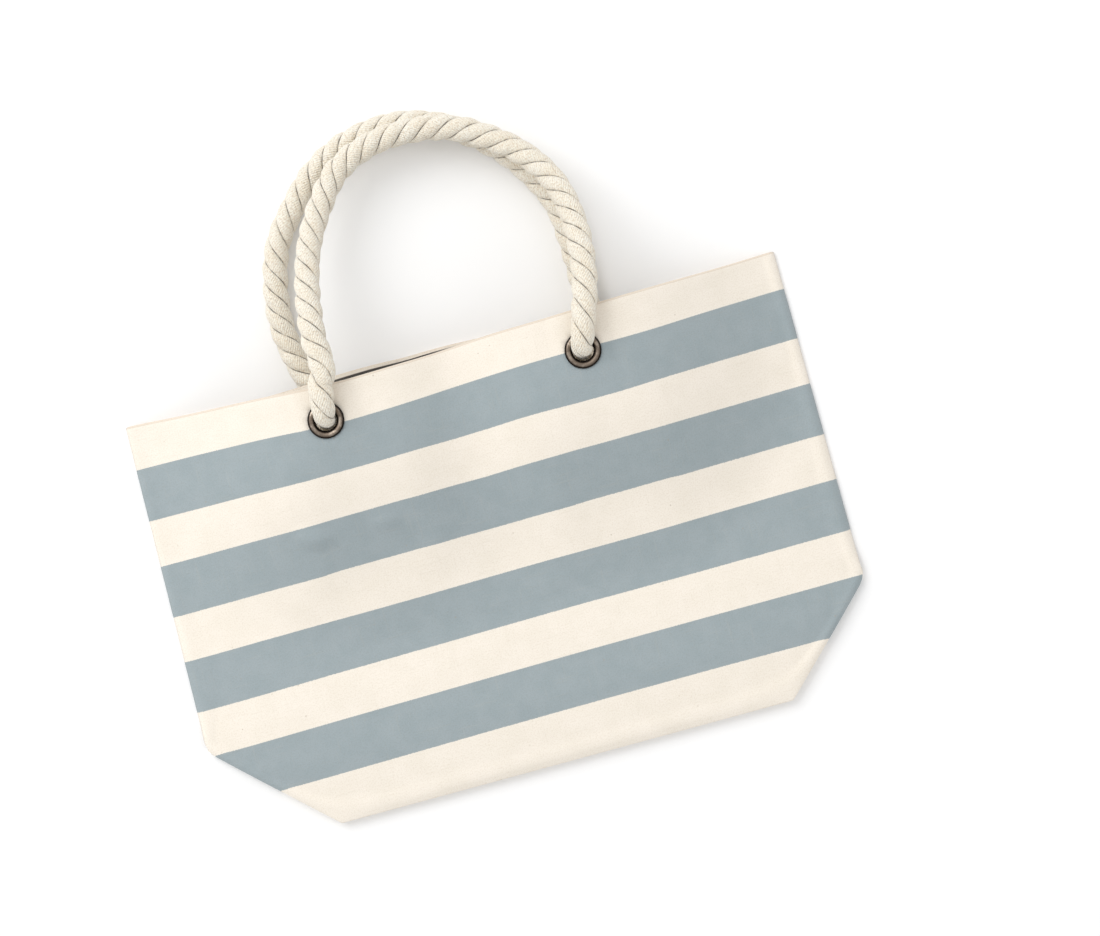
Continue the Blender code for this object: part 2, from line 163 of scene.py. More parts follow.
def stripes_over(tree, uv, v, colour):
    """The cloth's colour with the stripes printed on it: edges a little uneven, ink a little thin."""
    cloud = {"Vector": uv, "Scale": 900.0, "Detail": 2.0, "Roughness": 0.5}
    uneven = add(tree, "ShaderNodeTexNoise", cloud).outputs["Fac"]
    centred = add(tree, "ShaderNodeMath", {0: uneven, 1: 0.5}, operation="SUBTRACT").outputs[0]
    moved = {0: centred, 1: STRIPE_WANDER, 2: v}
    depth = add(tree, "ShaderNodeMath", moved, operation="MULTIPLY_ADD").outputs[0]
    printed = 0.0
    for low, high in STRIPES:
        upper = (depth, low - STRIPE_SOFT, low + STRIPE_SOFT, 0.0, 1.0)
        lower = (depth, high - STRIPE_SOFT, high + STRIPE_SOFT, 1.0, 0.0)
        stripe = showing(tree, upper, lower)
        printed = add(tree, "ShaderNodeMath", {0: printed, 1: stripe}, operation="MAXIMUM").outputs[0]
    thin = patches(tree, uv, 1500.0, 0.25, 0.5, 0.93, 1.0, rough=0.7)
    cover = add(tree, "ShaderNodeMath", {0: printed, 1: thin}, operation="MULTIPLY").outputs[0]
    faded = patches(tree, uv, 60.0, 0.3, 0.7, detail=3.0, rough=0.6)
    ink = laid_over(tree, BLUE, (faded, linear("#9aa6aa")))
    return laid_over(tree, colour, (cover, ink))


def browner_fold_edge(tree, v):
    """How much the fold at the mouth is drawn browner, within about a millimetre of its edge."""
    from_edge = add(tree, "ShaderNodeMath", {0: v}, operation="ABSOLUTE").outputs[0]
    return showing(tree, (from_edge, 0.0004, 0.0012, 0.45, 0.0))


def painted_slit_shadow(tree, u, v):
    """A dark line painted along the inside of the back's fold, for part of the mouth: painted shadow of the
    slit between the two panels' edges.
    """
    shifted = add(tree, "ShaderNodeMath", {0: u, 1: 0.095}, operation="ADD").outputs[0]
    lowered = {0: shifted, 1: -0.0125, 2: v}
    slant = add(tree, "ShaderNodeMath", lowered, operation="MULTIPLY_ADD").outputs[0]
    across = ((v, -0.0076, -0.0068, 0.0, 1.0), (slant, -0.0026, -0.0020, 1.0, 0.0))
    along = ((u, -0.118, -0.106, 0.0, 1.0), (u, -0.020, 0.025, 1.0, 0.0))
    return showing(tree, *across, *along)


def canvas(name, striped, with_slit_shadow=False):
    """12 oz cotton canvas, unbleached, with the grey-blue stripes printed on its outer side.

    The yarns are about 0.6 mm apart in the cloth; they are drawn 1.1 mm apart, so that they show.
    """
    made, tree, shader = new_material(name)
    uv = add(tree, "ShaderNodeTexCoord").outputs["UV"]
    place = add(tree, "ShaderNodeSeparateXYZ", {"Vector": uv}).outputs
    u, v = place["X"], place["Y"]
    mottle = patches(tree, uv, 38.0, 0.3, 0.7, detail=4.0, rough=0.6)
    colour = laid_over(tree, NATURAL, (mottle, linear("#f1e9dc")))
    if striped:
        colour = stripes_over(tree, uv, v, colour)
    # Slubs: thicker yarns that run a short way along the warp or the weft.
    warp_slub = patches(tree, uv, 220.0, 0.60, 0.72, stretch=(0.12, 2.2, 1))
    weft_slub = patches(tree, uv, 220.0, 0.60, 0.72, stretch=(2.2, 0.12, 1))
    slub = add(tree, "ShaderNodeMath", {0: warp_slub, 1: weft_slub}, operation="MAXIMUM").outputs[0]
    faint = add(tree, "ShaderNodeMath", {0: slub, 1: 0.06}, operation="MULTIPLY").outputs[0]
    colour = laid_over(tree, colour, (faint, linear("#cfc5b2")))
    # Painted shade in the hollows between the yarns: a fine, uneven darkening of the cloth's colour.
    hollow_shade = patches(tree, uv, 850.0, 0.45, 0.65, 0.0, 0.26, detail=3.0, rough=0.7)
    darker = {0: hollow_shade, 6: colour, 7: linear("#dcd2c4")}
    colour = add(tree, "ShaderNodeMix", darker, data_type="RGBA", blend_type="MULTIPLY").outputs[2]
    # Seed flecks left in unbleached cotton, about 1 mm across.
    cells = add(tree, "ShaderNodeTexVoronoi", {"Vector": uv, "Scale": 95.0, "Randomness": 1.0}).outputs
    chosen = add(tree, "ShaderNodeSeparateColor", {"Color": cells["Color"]}).outputs["Red"]
    fleck = showing(tree, (cells["Distance"], 0.035, 0.085, 1.0, 0.0), (chosen, 0.62, 0.95, 0.0, 0.42))
    colour = laid_over(tree, colour, (fleck, linear("#a2927c")))
    if striped:
        colour = laid_over(tree, colour, (browner_fold_edge(tree, v), linear("#cdb9a4")))
    # Painted shadow of the mouth's slit, a dark line inside the back's fold.
    if with_slit_shadow:
        colour = laid_over(tree, colour, (painted_slit_shadow(tree, u, v), linear("#4e4b48")))
    tree.links.new(colour, shader.inputs["Base Color"])
    # A wave of this scale repeats every 1.1 mm.
    yarns = {"Vector": uv, "Scale": 286.0, "Distortion": 1.6, "Detail Scale": 60.0}
    warp, weft = (
        add(tree, "ShaderNodeTexWave", yarns, bands_direction=way).outputs["Fac"] for way in ("X", "Y")
    )
    weave = add(tree, "ShaderNodeMath", {0: warp, 1: weft}, operation="MULTIPLY").outputs[0]
    height = add(tree, "ShaderNodeMath", {0: slub, 1: 0.6, 2: weave}, operation="MULTIPLY_ADD").outputs[0]
    cloud = {"Vector": uv, "Scale": 700.0, "Detail": 3.0, "Roughness": 0.7}
    fuzz = add(tree, "ShaderNodeTexNoise", cloud).outputs["Fac"]
    height = add(tree, "ShaderNodeMath", {0: fuzz, 1: 0.8, 2: height}, operation="MULTIPLY_ADD").outputs[0]
    relief(tree, shader, height, 0.5, 0.00018)
    shader.inputs["Roughness"].default_value = 0.92
    shader.inputs["Sheen Weight"].default_value = 0.12
    shader.inputs["Sheen Roughness"].default_value = 0.6
    shader.inputs["Specular IOR Level"].default_value = 0.2
    return made


YARN_LEAN = math.radians(32)
# A wave repeats every WAVE / its scale, in metres.
WAVE = 0.314159


def rope_material():
    """Three-strand cotton rope, washed but unbleached; its yarns lean against the lay.

    The yarns are about 1.3 mm apart; they are drawn 1.9 mm apart, so that they show.
    """
    made, tree, shader = new_material("cotton_rope_yarn")
    uv = add(tree, "ShaderNodeTexCoord").outputs["UV"]
    groove = add(tree, "ShaderNodeAttribute", attribute_name="groove").outputs["Fac"]
    leaning = add(tree, "ShaderNodeMapping", {"Vector": uv, "Rotation": (0, 0, YARN_LEAN)}).outputs[0]
    yarns = {"Scale": WAVE / 0.0019, "Distortion": 2.2, "Detail": 3.0, "Detail Scale": 3.5}
    twist = {"Scale": WAVE / 0.0030, "Distortion": 3.0, "Detail": 2.0, "Detail Scale": 3.0}
    yarn, crossing = (
        add(tree, "ShaderNodeTexWave", {"Vector": leaning, **waves}, bands_direction=way).outputs["Fac"]
        for waves, way in ((yarns, "X"), (twist, "Y"))
    )
    bumpy = showing(tree, (crossing, 0.0, 0.6, 0.45, 1.0))
    knobs = add(tree, "ShaderNodeMath", {0: yarn, 1: bumpy}, operation="MULTIPLY").outputs[0]
    combed = add(tree, "ShaderNodeMapping", {"Vector": uv, "Scale": (1.6, 0.35, 1)}).outputs[0]
    cloud = {"Vector": combed, "Scale": 900.0, "Detail": 4.0, "Roughness": 0.65}
    fibre = add(tree, "ShaderNodeTexNoise", cloud).outputs["Fac"]
    patchy = patches(tree, uv, 130.0, 0.3, 0.62, 0.15, 1.0, rough=0.6)
    in_groove = showing(tree, (groove, 0.3, 1.0, 0.0, 1.0))
    shadow = add(tree, "ShaderNodeMath", {0: in_groove, 1: patchy}, operation="MULTIPLY").outputs[0]
    colour = laid_over(
        tree,
        linear("#fffbee"),
        (patches(tree, uv, 60.0, 0.3, 0.7, detail=3.0, rough=0.6), linear("#fbf3e1")),
        # Painted shade between the yarns, darker where the yarn pattern is low.
        (showing(tree, (knobs, 0.0, 0.6, 0.28, 0.0)), linear("#d0b98f")),
        (showing(tree, (fibre, 0.45, 0.75, 0.0, 0.12)), linear("#cfc3ac")),
        (patches(tree, uv, 620.0, 0.49, 0.62, 0.0, 0.42, rough=0.55), linear("#c9ab84")),
        (shadow, linear("#54402a")),
    )
    tree.links.new(colour, shader.inputs["Base Color"])
    height = add(tree, "ShaderNodeMath", {0: fibre, 1: 0.7, 2: knobs}, operation="MULTIPLY_ADD").outputs[0]
    relief(tree, shader, height, 1.0, 0.0006)
    shader.inputs["Roughness"].default_value = 0.95
    shader.inputs["Sheen Weight"].default_value = 0.45
    shader.inputs["Sheen Roughness"].default_value = 0.8
    shader.inputs["Specular IOR Level"].default_value = 0.15
    return made


def metal_material():
    """Brass eyelet stock with a dark antique finish, rubbed bright in patches; its flange's crest is painted
    lighter, a painted highlight.
    """
    made, tree, shader = new_material("antique_brass_dark")
    place = add(tree, "ShaderNodeTexCoord").outputs["Object"]
    # The crest is painted lighter than the dark rims, a painted highlight on the top of the flange; the
    # lighter patches within it are rubbed brass.
    high = add(tree, "ShaderNodeAttribute", attribute_name="crest_highlight").outputs["Fac"]
    worn = patches(tree, place, 160.0, 0.45, 0.7, detail=4.0, rough=0.6)
    highlight_and_rubbed = laid_over(tree, linear("#7d7064"), (worn, linear("#b8ab9d")))
    colour = laid_over(tree, linear("#231d19"), (showing(tree, (high, 0.15, 0.75, 0.0, 1.0)), highlight_and_rubbed))
    tree.links.new(colour, shader.inputs["Base Color"])
    rough = patches(tree, place, 420.0, 0.3, 0.7, 0.24, 0.42, detail=3.0, rough=0.6)
    tree.links.new(rough, shader.inputs["Roughness"])
    shader.inputs["Metallic"].default_value = 1.0
    return made


def thread_material(name, shade):
    """Twisted cotton thread, lightly waxed; its twist is too fine to show and is a fine grain here."""
    made, tree, shader = new_material(name)
    place = add(tree, "ShaderNodeTexCoord").outputs["Object"]
    cloud = {"Vector": place, "Scale": 900.0, "Detail": 2.0, "Roughness": 0.6}
    grain = add(tree, "ShaderNodeTexNoise", cloud).outputs["Fac"]
    darker = (showing(tree, (grain, 0.3, 0.7, 0.0, 1.0)), linear("#c9b692"))
    tree.links.new(laid_over(tree, linear(shade), darker), shader.inputs["Base Color"])
    relief(tree, shader, grain, 0.5, 0.0001)
    shader.inputs["Roughness"].default_value = 0.6
    return made


def tape_material():
    """Woven cotton twill tape; its slanting ribs are drawn 1.4 mm apart, coarser than real, to show."""
    made, tree, shader = new_material("cotton_binding_tape")
    place = add(tree, "ShaderNodeTexCoord").outputs["Object"]
    ribs = {"Vector": place, "Scale": 314.0, "Distortion": 1.0}
    slanting = add(tree, "ShaderNodeTexWave", ribs, bands_direction="DIAGONAL").outputs["Fac"]
    tone = patches(tree, place, 90.0, 0.3, 0.7, detail=3.0)
    colour = laid_over(tree, linear("#efe6d4"), (tone, linear("#e5dac5")))
    tree.links.new(colour, shader.inputs["Base Color"])
    relief(tree, shader, slanting, 0.4, 0.0002)
    shader.inputs["Roughness"].default_value = 0.9
    return made


# ---------------------------------------------------------------- meshes
def mesh_object(name, points, faces, materials, uvs=None, indices=None):
    """A smooth mesh from arrays: points, faces, one UV pair for each face corner."""
    data = bpy.data.meshes.new(name)
    data.from_pydata([tuple(map(float, p)) for p in points], [], [tuple(map(int, f)) for f in faces])
    for each in materials:
        data.materials.append(each)
    if uvs is not None:
        layer = data.uv_layers.new(name="UVMap")
        layer.data.foreach_set("uv", np.asarray(uvs, np.float32).ravel())
    if indices is not None:
        data.polygons.foreach_set("material_index", np.asarray(indices, np.int32))
    data.shade_smooth()
    data.update()
    obj = bpy.data.objects.new(name, data)
    bpy.context.scene.collection.objects.link(obj)
    return obj


def made_plain(obj):
    """The same object with its modifiers made part of its mesh."""
    bpy.context.view_layer.update()
    graph = bpy.context.evaluated_depsgraph_get()
    data = bpy.data.meshes.new_from_object(obj.evaluated_get(graph))
    obj.modifiers.clear()
    obj.data = data
    return obj


def ease(share):
    share = np.clip(share, 0, 1)
    return share * share * (3 - 2 * share)


def mix(low, high, share):
    return low + (high - low) * share


# ---------------------------------------------------------------- camera
# It looks straight down from 2 m up, turned a little to the side.
lens = bpy.data.cameras.new("camera")
lens.lens = 80.9
lens.sensor_width = 36
camera = bpy.data.objects.new("camera", lens)
camera.location = (0.051, 0.056, 2.0)
camera.rotation_euler = (0, 0, -0.266)
bpy.context.scene.collection.objects.link(camera)
bpy.context.scene.camera = camera


# ---------------------------------------------------------------- ropes
def smooth_line(stations, step):
    """Points a step apart on the smooth curve through the stations, whose last column is the radius."""
    stations = np.asarray(stations, float)
    spans = np.linalg.norm(np.diff(stations[:, :3], axis=0), axis=1)
    slopes = np.diff(stations, axis=0) / spans[:, None]
    tangents = np.empty_like(stations)
    before, after = spans[:-1, None], spans[1:, None]
    tangents[1:-1] = (slopes[1:] * before + slopes[:-1] * after) / (after + before)
    tangents[0], tangents[-1] = slopes[0], slopes[-1]
    fine = []
    for i, span in enumerate(spans):
        t = np.linspace(0, 1, 16, endpoint=False)[:, None]
        fine.append(
            (2 * t**3 - 3 * t**2 + 1) * stations[i]
            + (t**3 - 2 * t**2 + t) * span * tangents[i]
            + (3 * t**2 - 2 * t**3) * stations[i + 1]
            + (t**3 - t**2) * span * tangents[i + 1]
        )
    fine = np.vstack([*fine, stations[-1:]])
    runs = np.r_[0, np.cumsum(np.linalg.norm(np.diff(fine[:, :3], axis=0), axis=1))]
    wanted = np.linspace(0, runs[-1], int(round(runs[-1] / step)) + 1)
    return np.stack([np.interp(wanted, runs, fine[:, k]) for k in range(4)], 1), wanted


def carried_frames(line):
    """Tangent, side and up at each point, turning as little as possible along the line."""
    tangents = np.gradient(line, axis=0)
    tangents /= np.linalg.norm(tangents, axis=1)[:, None]
    side = np.cross(tangents[0], (0.3, 0.2, 1.0))
    sides = []
    for tangent in tangents:
        side = side - tangent * (side @ tangent)
        side /= np.linalg.norm(side)
        sides.append(side)
    sides = np.array(sides)
    return tangents, sides, np.cross(tangents, sides)


# The length of one whole turn of the strands.
LAY = 0.050
# One strand's face, in degrees either side of its crest, closer together at the grooves.
STRAND_FACE = (-60, -57.5, -54, -48, -39, -28, -14, 0, 14, 28, 39, 48, 54, 57.5)


def rope_object(name, stations, finish):
    """A left-laid three-strand rope through the stations, closed and rounded at both ends."""
    line, runs = smooth_line(stations, 0.0015)
    points, radii = line[:, :3], line[:, 3]
    tangents, sides, ups = carried_frames(points)
    inside = np.radians(np.tile(STRAND_FACE, 3))
    strand = np.repeat(np.arange(3), len(STRAND_FACE))
    around = inside + math.pi / 3 + strand * 2 * math.pi / 3
    from_crest = np.abs(inside) / (math.pi / 3)
    section = 1 - 0.175 * from_crest**2.1 - 0.075 * np.exp(-(((1 - from_crest) / 0.08) ** 2))
    turn = -2 * math.pi * runs / LAY
    # Hand-made rope is never quite even: each strand swells and thins a little along its length.
    slow = np.sin(runs[:, None] * 2 * math.pi / 0.031 + strand[None] * 2.1) * np.cos(inside)[None]
    short = np.sin(runs[:, None] * 2 * math.pi / 0.0117 + strand[None] * 1.3)
    swell = 1 + 0.030 * slow + 0.012 * short
    angle = around[None] + turn[:, None]
    reach = section[None] * radii[:, None] * swell
    grid = (
        points[:, None]
        + (np.cos(angle) * reach)[..., None] * sides[:, None]
        + (np.sin(angle) * reach)[..., None] * ups[:, None]
    )
    rings = len(points)
    start = points[0] - tangents[0] * 0.002
    end = points[-1] + tangents[-1] * 0.002
    where = np.vstack([grid.reshape(-1, 3), start, end])
    n = len(around)
    i, k = np.meshgrid(np.arange(rings - 1), np.arange(n), indexing="ij")
    i, k = i.ravel(), k.ravel()
    after = (k + 1) % n
    quads = np.stack([i * n + k, i * n + after, (i + 1) * n + after, (i + 1) * n + k], 1)
    size = ROPE_RADIUS
    width = np.diff(np.r_[around, around[0] + 2 * math.pi])
    u0, u1 = (around[k] + turn[i]) * size, (around[k] + width[k] + turn[i]) * size
    u2, u3 = (around[k] + width[k] + turn[i + 1]) * size, (around[k] + turn[i + 1]) * size
    uv = np.stack([u0, runs[i], u1, runs[i], u2, runs[i + 1], u3, runs[i + 1]], 1).reshape(-1, 2)
    faces = [list(q) for q in quads]
    caps, cap_uv = [], []
    for j in range(n):
        caps.append([len(where) - 2, (j + 1) % n, j])
        caps.append([len(where) - 1, (rings - 1) * n + j, (rings - 1) * n + (j + 1) % n])
        cap_uv += [[0, 0], [0.001, 0], [0, 0.001]] * 2
    rope = mesh_object(name, where, faces + caps, [finish], np.vstack([uv, cap_uv]))
    groove = np.exp(-(((1 - from_crest) / 0.10) ** 2))
    values = np.r_[np.tile(groove, rings), 0.5, 0.5].astype(np.float32)
    rope.data.attributes.new("groove", "FLOAT", "POINT").data.foreach_set("value", values)
    return rope, points


def evenly(points, count):
    """The line as this many points the same distance apart, and that distance."""
    runs = np.r_[0, np.cumsum(np.linalg.norm(np.diff(points, axis=0), axis=1))]
    wanted = np.linspace(0, runs[-1], count)
    return np.stack([np.interp(wanted, runs, points[:, k]) for k in range(3)], 1), runs[-1] / (count - 1)


def tied_overhand(thick, span, rounds=150, count=100):
    """The centreline of a drawn-up overhand knot, whose rope is this thick.

    A loosely tied one is shortened, round after round, until the rope touches itself.
    """
    t = np.linspace(-2.15, 2.15, 4 * count)
    line = np.stack([t**3 - 3 * t, t**4 - 4 * t**2, (t**5 - 10 * t) * 0.45], 1) * thick * 0.5
    along = (line[-1] - line[0]) / np.linalg.norm(line[-1] - line[0])
    line -= (line[0] + line[-1]) / 2
    ends = np.array([-along * span / 2, along * span / 2])
    line = np.vstack([ends[0], line, ends[1]])
    for _ in range(rounds):
        line, step = evenly(line, count)
        i, j = np.triu_indices(count, int(math.ceil(math.pi * thick / 2 / step)))
        for _ in range(6):
            line[1:-1] += 0.3 * ((line[:-2] + line[2:]) / 2 - line[1:-1])
            for _ in range(4):
                away = line[j] - line[i]
                far = np.linalg.norm(away, axis=1)
                close = far < thick
                push = ((thick - far[close]) / np.maximum(far[close], 1e-9) * 0.35)[:, None] * away[close]
                np.add.at(line, i[close], -push)
                np.add.at(line, j[close], push)
            line[0], line[-1] = ends
    return line, along


# The rope is squeezed thinner than this where the knot is drawn tight.
KNOT_ROPE = 0.0155
knot_line, knot_along = tied_overhand(KNOT_ROPE, 0.20)
knot_core = knot_line[np.abs(knot_line @ knot_along) < 0.034]
knot_core = knot_core - (knot_core.max(0) + knot_core.min(0)) / 2
flat = np.linalg.svd(knot_core - np.outer(knot_core @ knot_along, knot_along), full_matrices=False)[2]
# Turned so that its widest way comes first, then its thin way, then along the rope.
knot_axes = np.stack([flat[0], -np.cross(flat[0], knot_along), knot_along])
knot_local = knot_core @ knot_axes.T


def placed_knot(x, down, z, mirror):
    """The knot with its rope entering from the top of the bag and leaving towards its base."""
    made = knot_local.copy()
    made[:, 0] *= mirror
    made[:, 1] *= mirror
    made = np.stack([x + made[:, 0], TOP_Y - down - made[:, 2], z + made[:, 1]], 1)
    return [(*p, KNOT_ROPE / 2 + 0.0003) for p in made]


# The rope's middle line outside the bag, as (x, y beyond the mouth, height), from left to right.
FRONT_ROUTE = [
    (-0.1010, -0.0045, 0.0834),
    (-0.1000, 0.0300, 0.0762),
    (-0.0953, 0.0693, 0.0605),
    (-0.0875, 0.0976, 0.0490),
    (-0.0715, 0.1279, 0.0395),
    (-0.0490, 0.1545, 0.0338),
    (-0.0185, 0.1676, 0.0318),
    (0.0146, 0.1694, 0.0316),
    (0.0451, 0.1635, 0.0316),
    (0.0746, 0.1467, 0.0324),
    (0.0971, 0.1265, 0.0365),
    (0.1136, 0.0991, 0.0455),
    (0.1200, 0.0657, 0.0585),
    (0.1186, 0.0337, 0.0720),
    (0.1115, 0.0011, 0.0822),
]
BACK_ROUTE = [
    (-0.1150, -0.0120, 0.0105),
    (-0.1225, 0.0150, 0.0105),
    (-0.1270, 0.0450, 0.0105),
    (-0.1240, 0.0780, 0.0105),
    (-0.1118, 0.1140, 0.0105),
    (-0.0930, 0.1380, 0.0105),
    (-0.0715, 0.1590, 0.0105),
    (-0.0455, 0.1735, 0.0105),
    (-0.0195, 0.1800, 0.0105),
    (0.0060, 0.1805, 0.0105),
    (0.0350, 0.1720, 0.0105),
    (0.0600, 0.1570, 0.0105),
    (0.0805, 0.1385, 0.0105),
    (0.0990, 0.1125, 0.0105),
    (0.1120, 0.0830, 0.0105),
    (0.1150, 0.0530, 0.0105),
    (0.1155, 0.0250, 0.0105),
    (0.1135, -0.0050, 0.0105),
]
# From the handle's end over the eyelet and in, as (inwards from the eyelet, down, height, radius).
FRONT_ENTRY = [
    (0.0000, 0.0090, FRONT_EYELET_Z + 0.0136, 0.0101),
    (0.0000, 0.0200, FRONT_EYELET_Z + 0.0134, 0.0100),
    (0.0000, 0.0290, FRONT_EYELET_Z + 0.0098, 0.0096),
    (0.0000, 0.0340, FRONT_EYELET_Z + 0.0035, 0.0088),
    (0.0000, 0.0358, FRONT_EYELET_Z - 0.0035, 0.0080),
    (0.0008, 0.0372, FRONT_EYELET_Z - 0.0105, 0.0078),
    (0.0030, 0.0440, FRONT_EYELET_Z - 0.0190, 0.0082),
    (0.0080, 0.0560, FRONT_EYELET_Z - 0.0270, 0.0086),
]
BACK_ENTRY = [
    (0.0000, 0.0180, 0.0108, 0.0099),
    (0.0000, 0.0290, 0.0140, 0.0090),
    (0.0000, 0.0345, 0.0210, 0.0080),
    (-0.0004, 0.0365, 0.0285, 0.0078),
    (-0.0060, 0.0440, 0.0370, 0.0081),
    (-0.0150, 0.0570, 0.0390, 0.0086),
]


# How far outwards the rope still is at the first points of its entry, on the left and the right.
FRONT_LEAN = {-1: (-0.0045, -0.0025, -0.0010), 1: (0.0080, 0.0045, 0.0015)}
BACK_LEAN = {-1: (0.0050, 0.0025, 0.0005), 1: (0.0085, 0.0035, 0.0005)}


def rope_end(entry, lean, knot, tail, side):
    """Stations from the eyelet to the end of the tail, for the right (1) or left (-1) side."""
    lean = [*lean, *[0.0] * (len(entry) - len(lean))]
    made = [
        (side * (EYELET_X - inwards + out) + SLIP, TOP_Y - down, z, r)
        for (inwards, down, z, r), out in zip(entry, lean)
    ]
    made += knot
    made += [(side * x + SLIP, TOP_Y - down, z, ROPE_RADIUS) for x, down, z in tail]
    return made


def handle(name, route, entry, lean, knots, tail, finish):
    """A whole handle, from the left tail through its knot and eyelet, round to the right tail."""
    left = rope_end(entry, lean[-1], knots[0], tail, -1)
    right = rope_end(entry, lean[1], knots[1], tail, 1)
    middle = [(x, TOP_Y + y, z, ROPE_RADIUS) for x, y, z in route]
    return rope_object(name, left[::-1] + middle + right, finish)


rope_finish = rope_material()
# The tail below each knot, as (inwards or outwards from the middle, down, height).
FRONT_TAIL = ((0.0820, 0.1500, 0.0136), (0.0820, 0.1600, 0.0132), (0.0820, 0.1720, 0.0132))
BACK_TAIL = ((0.1350, 0.1500, 0.0136), (0.1350, 0.1600, 0.0132), (0.1350, 0.1720, 0.0132))
front_knots = [placed_knot(side * 0.080 + SLIP, 0.104, 0.0245, side) for side in (-1, 1)]
back_knots = [placed_knot(side * 0.135 + SLIP, 0.104, 0.0245, side) for side in (-1, 1)]
front_rope, front_path = handle(
    "front_rope_handle", FRONT_ROUTE, FRONT_ENTRY, FRONT_LEAN, front_knots, FRONT_TAIL, rope_finish
)
back_rope, back_path = handle(
    "back_rope_handle", BACK_ROUTE, BACK_ENTRY, BACK_LEAN, back_knots, BACK_TAIL, rope_finish
)


# ---------------------------------------------------------------- cloths
def blurred(value, knots, reach):
    """A line through (place, height) knots, with its corners rounded over this reach."""
    xs, ys = zip(*knots)
    return sum(np.interp(value + o * reach, xs, ys) for o in (-1, -0.6, -0.2, 0.2, 0.6, 1)) / 6


# The bag's edges, as (distance below the mouth, x).
LEFT_EDGE = ((-0.1, -0.2690), (0.0, -0.2710), (0.266, -0.2762), (0.3485, -0.1872), (0.42, -0.1100))
RIGHT_EDGE = ((-0.1, 0.2706), (0.0, 0.2710), (0.2698, 0.2719), (0.349, 0.1916), (0.42, 0.1200))
# How far the front's cloth lies below its flat place: at each depth of it, (x, millimetres).
LIE = {
    0.0: (
        *((-0.27, -2.0), (-0.235, 1.4), (-0.2, 4.4), (-0.154, 7.5), (-0.11, 11.3), (-0.08, 11.1)),
        *((-0.05, 10.4), (-0.03, 9.6), (0.0, 7.9), (0.02, 6.2), (0.068, 6.3), (0.15, 4.0)),
        *((0.23, 0.7), (0.27, -1.8)),
    ),
    0.0344: (
        *((-0.27, -1.2), (-0.235, -0.2), (-0.15, 4.2), (-0.11, 7.8), (-0.05, 6.4), (0.0, 2.5)),
        *((0.07, 1.1), (0.15, 1.1), (0.21, -2.9), (0.27, -5.7)),
    ),
    0.077: (
        *((-0.27, -1.3), (-0.2, 0.1), (-0.15, 1.9), (-0.1, 2.2), (-0.05, 0.8), (0.0, -0.6)),
        *((0.05, -2.2), (0.1, -0.6), (0.15, -2.5), (0.2, -4.5), (0.27, -6.9)),
    ),
    0.134: ((-0.25, 0.7), (-0.15, -0.5), (-0.05, -2.0), (0.05, -3.0), (0.15, -3.5), (0.25, -4.6)),
    0.213: ((-0.25, 1.1), (-0.15, -1.0), (-0.05, -2.1), (0.05, -3.4), (0.15, -3.2), (0.25, -3.5)),
    0.292: ((-0.25, 0.6), (-0.15, -1.2), (-0.05, -2.5), (0.05, -3.3), (0.15, -3.5), (0.25, -3.0)),
    0.313: ((-0.25, 0.2), (-0.15, -1.6), (-0.05, -3.2), (0.05, -4.0), (0.15, -4.0), (0.25, -2.7)),
    0.35: ((-0.27, 0.0), (0.27, 0.0)),
}
# The same for the top edge of the back.
BACK_LIE = (
    *((-0.271, 0.0), (-0.2, 4.0), (-0.15, 6.0), (-0.12, 5.0), (-0.095, 3.6), (-0.05, 3.3)),
    *((-0.015, 2.3), (0.0, 2.5), (0.02, 3.4), (0.05, 5.0), (0.15, 3.0), (0.23, 1.5), (0.27, 0.0)),
)


def front_lie(x, v):
    """How far down the front's cloth lies, in metres, at place x and depth v."""
    depths = sorted(LIE)
    heights = np.stack([blurred(x, LIE[depth], 0.02) for depth in depths])
    v = np.clip(v, depths[0], depths[-1])
    k = np.clip(np.searchsorted(depths, v, side="right") - 1, 0, len(depths) - 2)
    low, high = np.array(depths)[k], np.array(depths)[k + 1]
    share = (v - low) / (high - low)
    rows = np.arange(heights.shape[1])
    return mix(heights[k, rows], heights[k + 1, rows], share) * 0.001


def back_lie(x, v):
    """The same for the back, whose top edge alone has slipped."""
    return blurred(x, BACK_LIE, 0.015) * 0.001 * np.clip(1 - v / 0.05, 0, 1)


def half_width(down):
    """Half the bag's width this far below the mouth."""
    return np.where(
        down <= LOW_CORNER,
        mix(HALF_TOP, HALF_LOW, down / LOW_CORNER),
        mix(HALF_LOW, BASE_HALF, (down - LOW_CORNER) / (HEIGHT - LOW_CORNER)),
    )


def plateau(x, down, high, dip, outward, below):
    """How raised the cloth is, 0 to 1: all of it out to high, less by the dip in between.

    It falls away over outward at the sides, and over below beneath the hem.
    """
    side = np.abs(x)
    inner = dip * (1 + np.cos(math.pi * side / 0.084)) / 2
    across = np.where(side < 0.084, inner, np.maximum(side - high, 0) / outward)
    along = np.maximum(down - HEM_DEEP, 0) / below
    return 1 - ease(np.hypot(across, along))


def rim(down):
    """How high the front's upper side stands at the bag's edge, this far below the mouth."""
    upper = mix(0.0039, 0.0066, ease((down - 0.20) / (LOW_CORNER - 0.20)))
    return np.where(down <= LOW_CORNER, upper, mix(0.0066, 0.0090, ease((down - LOW_CORNER) / 0.035)))


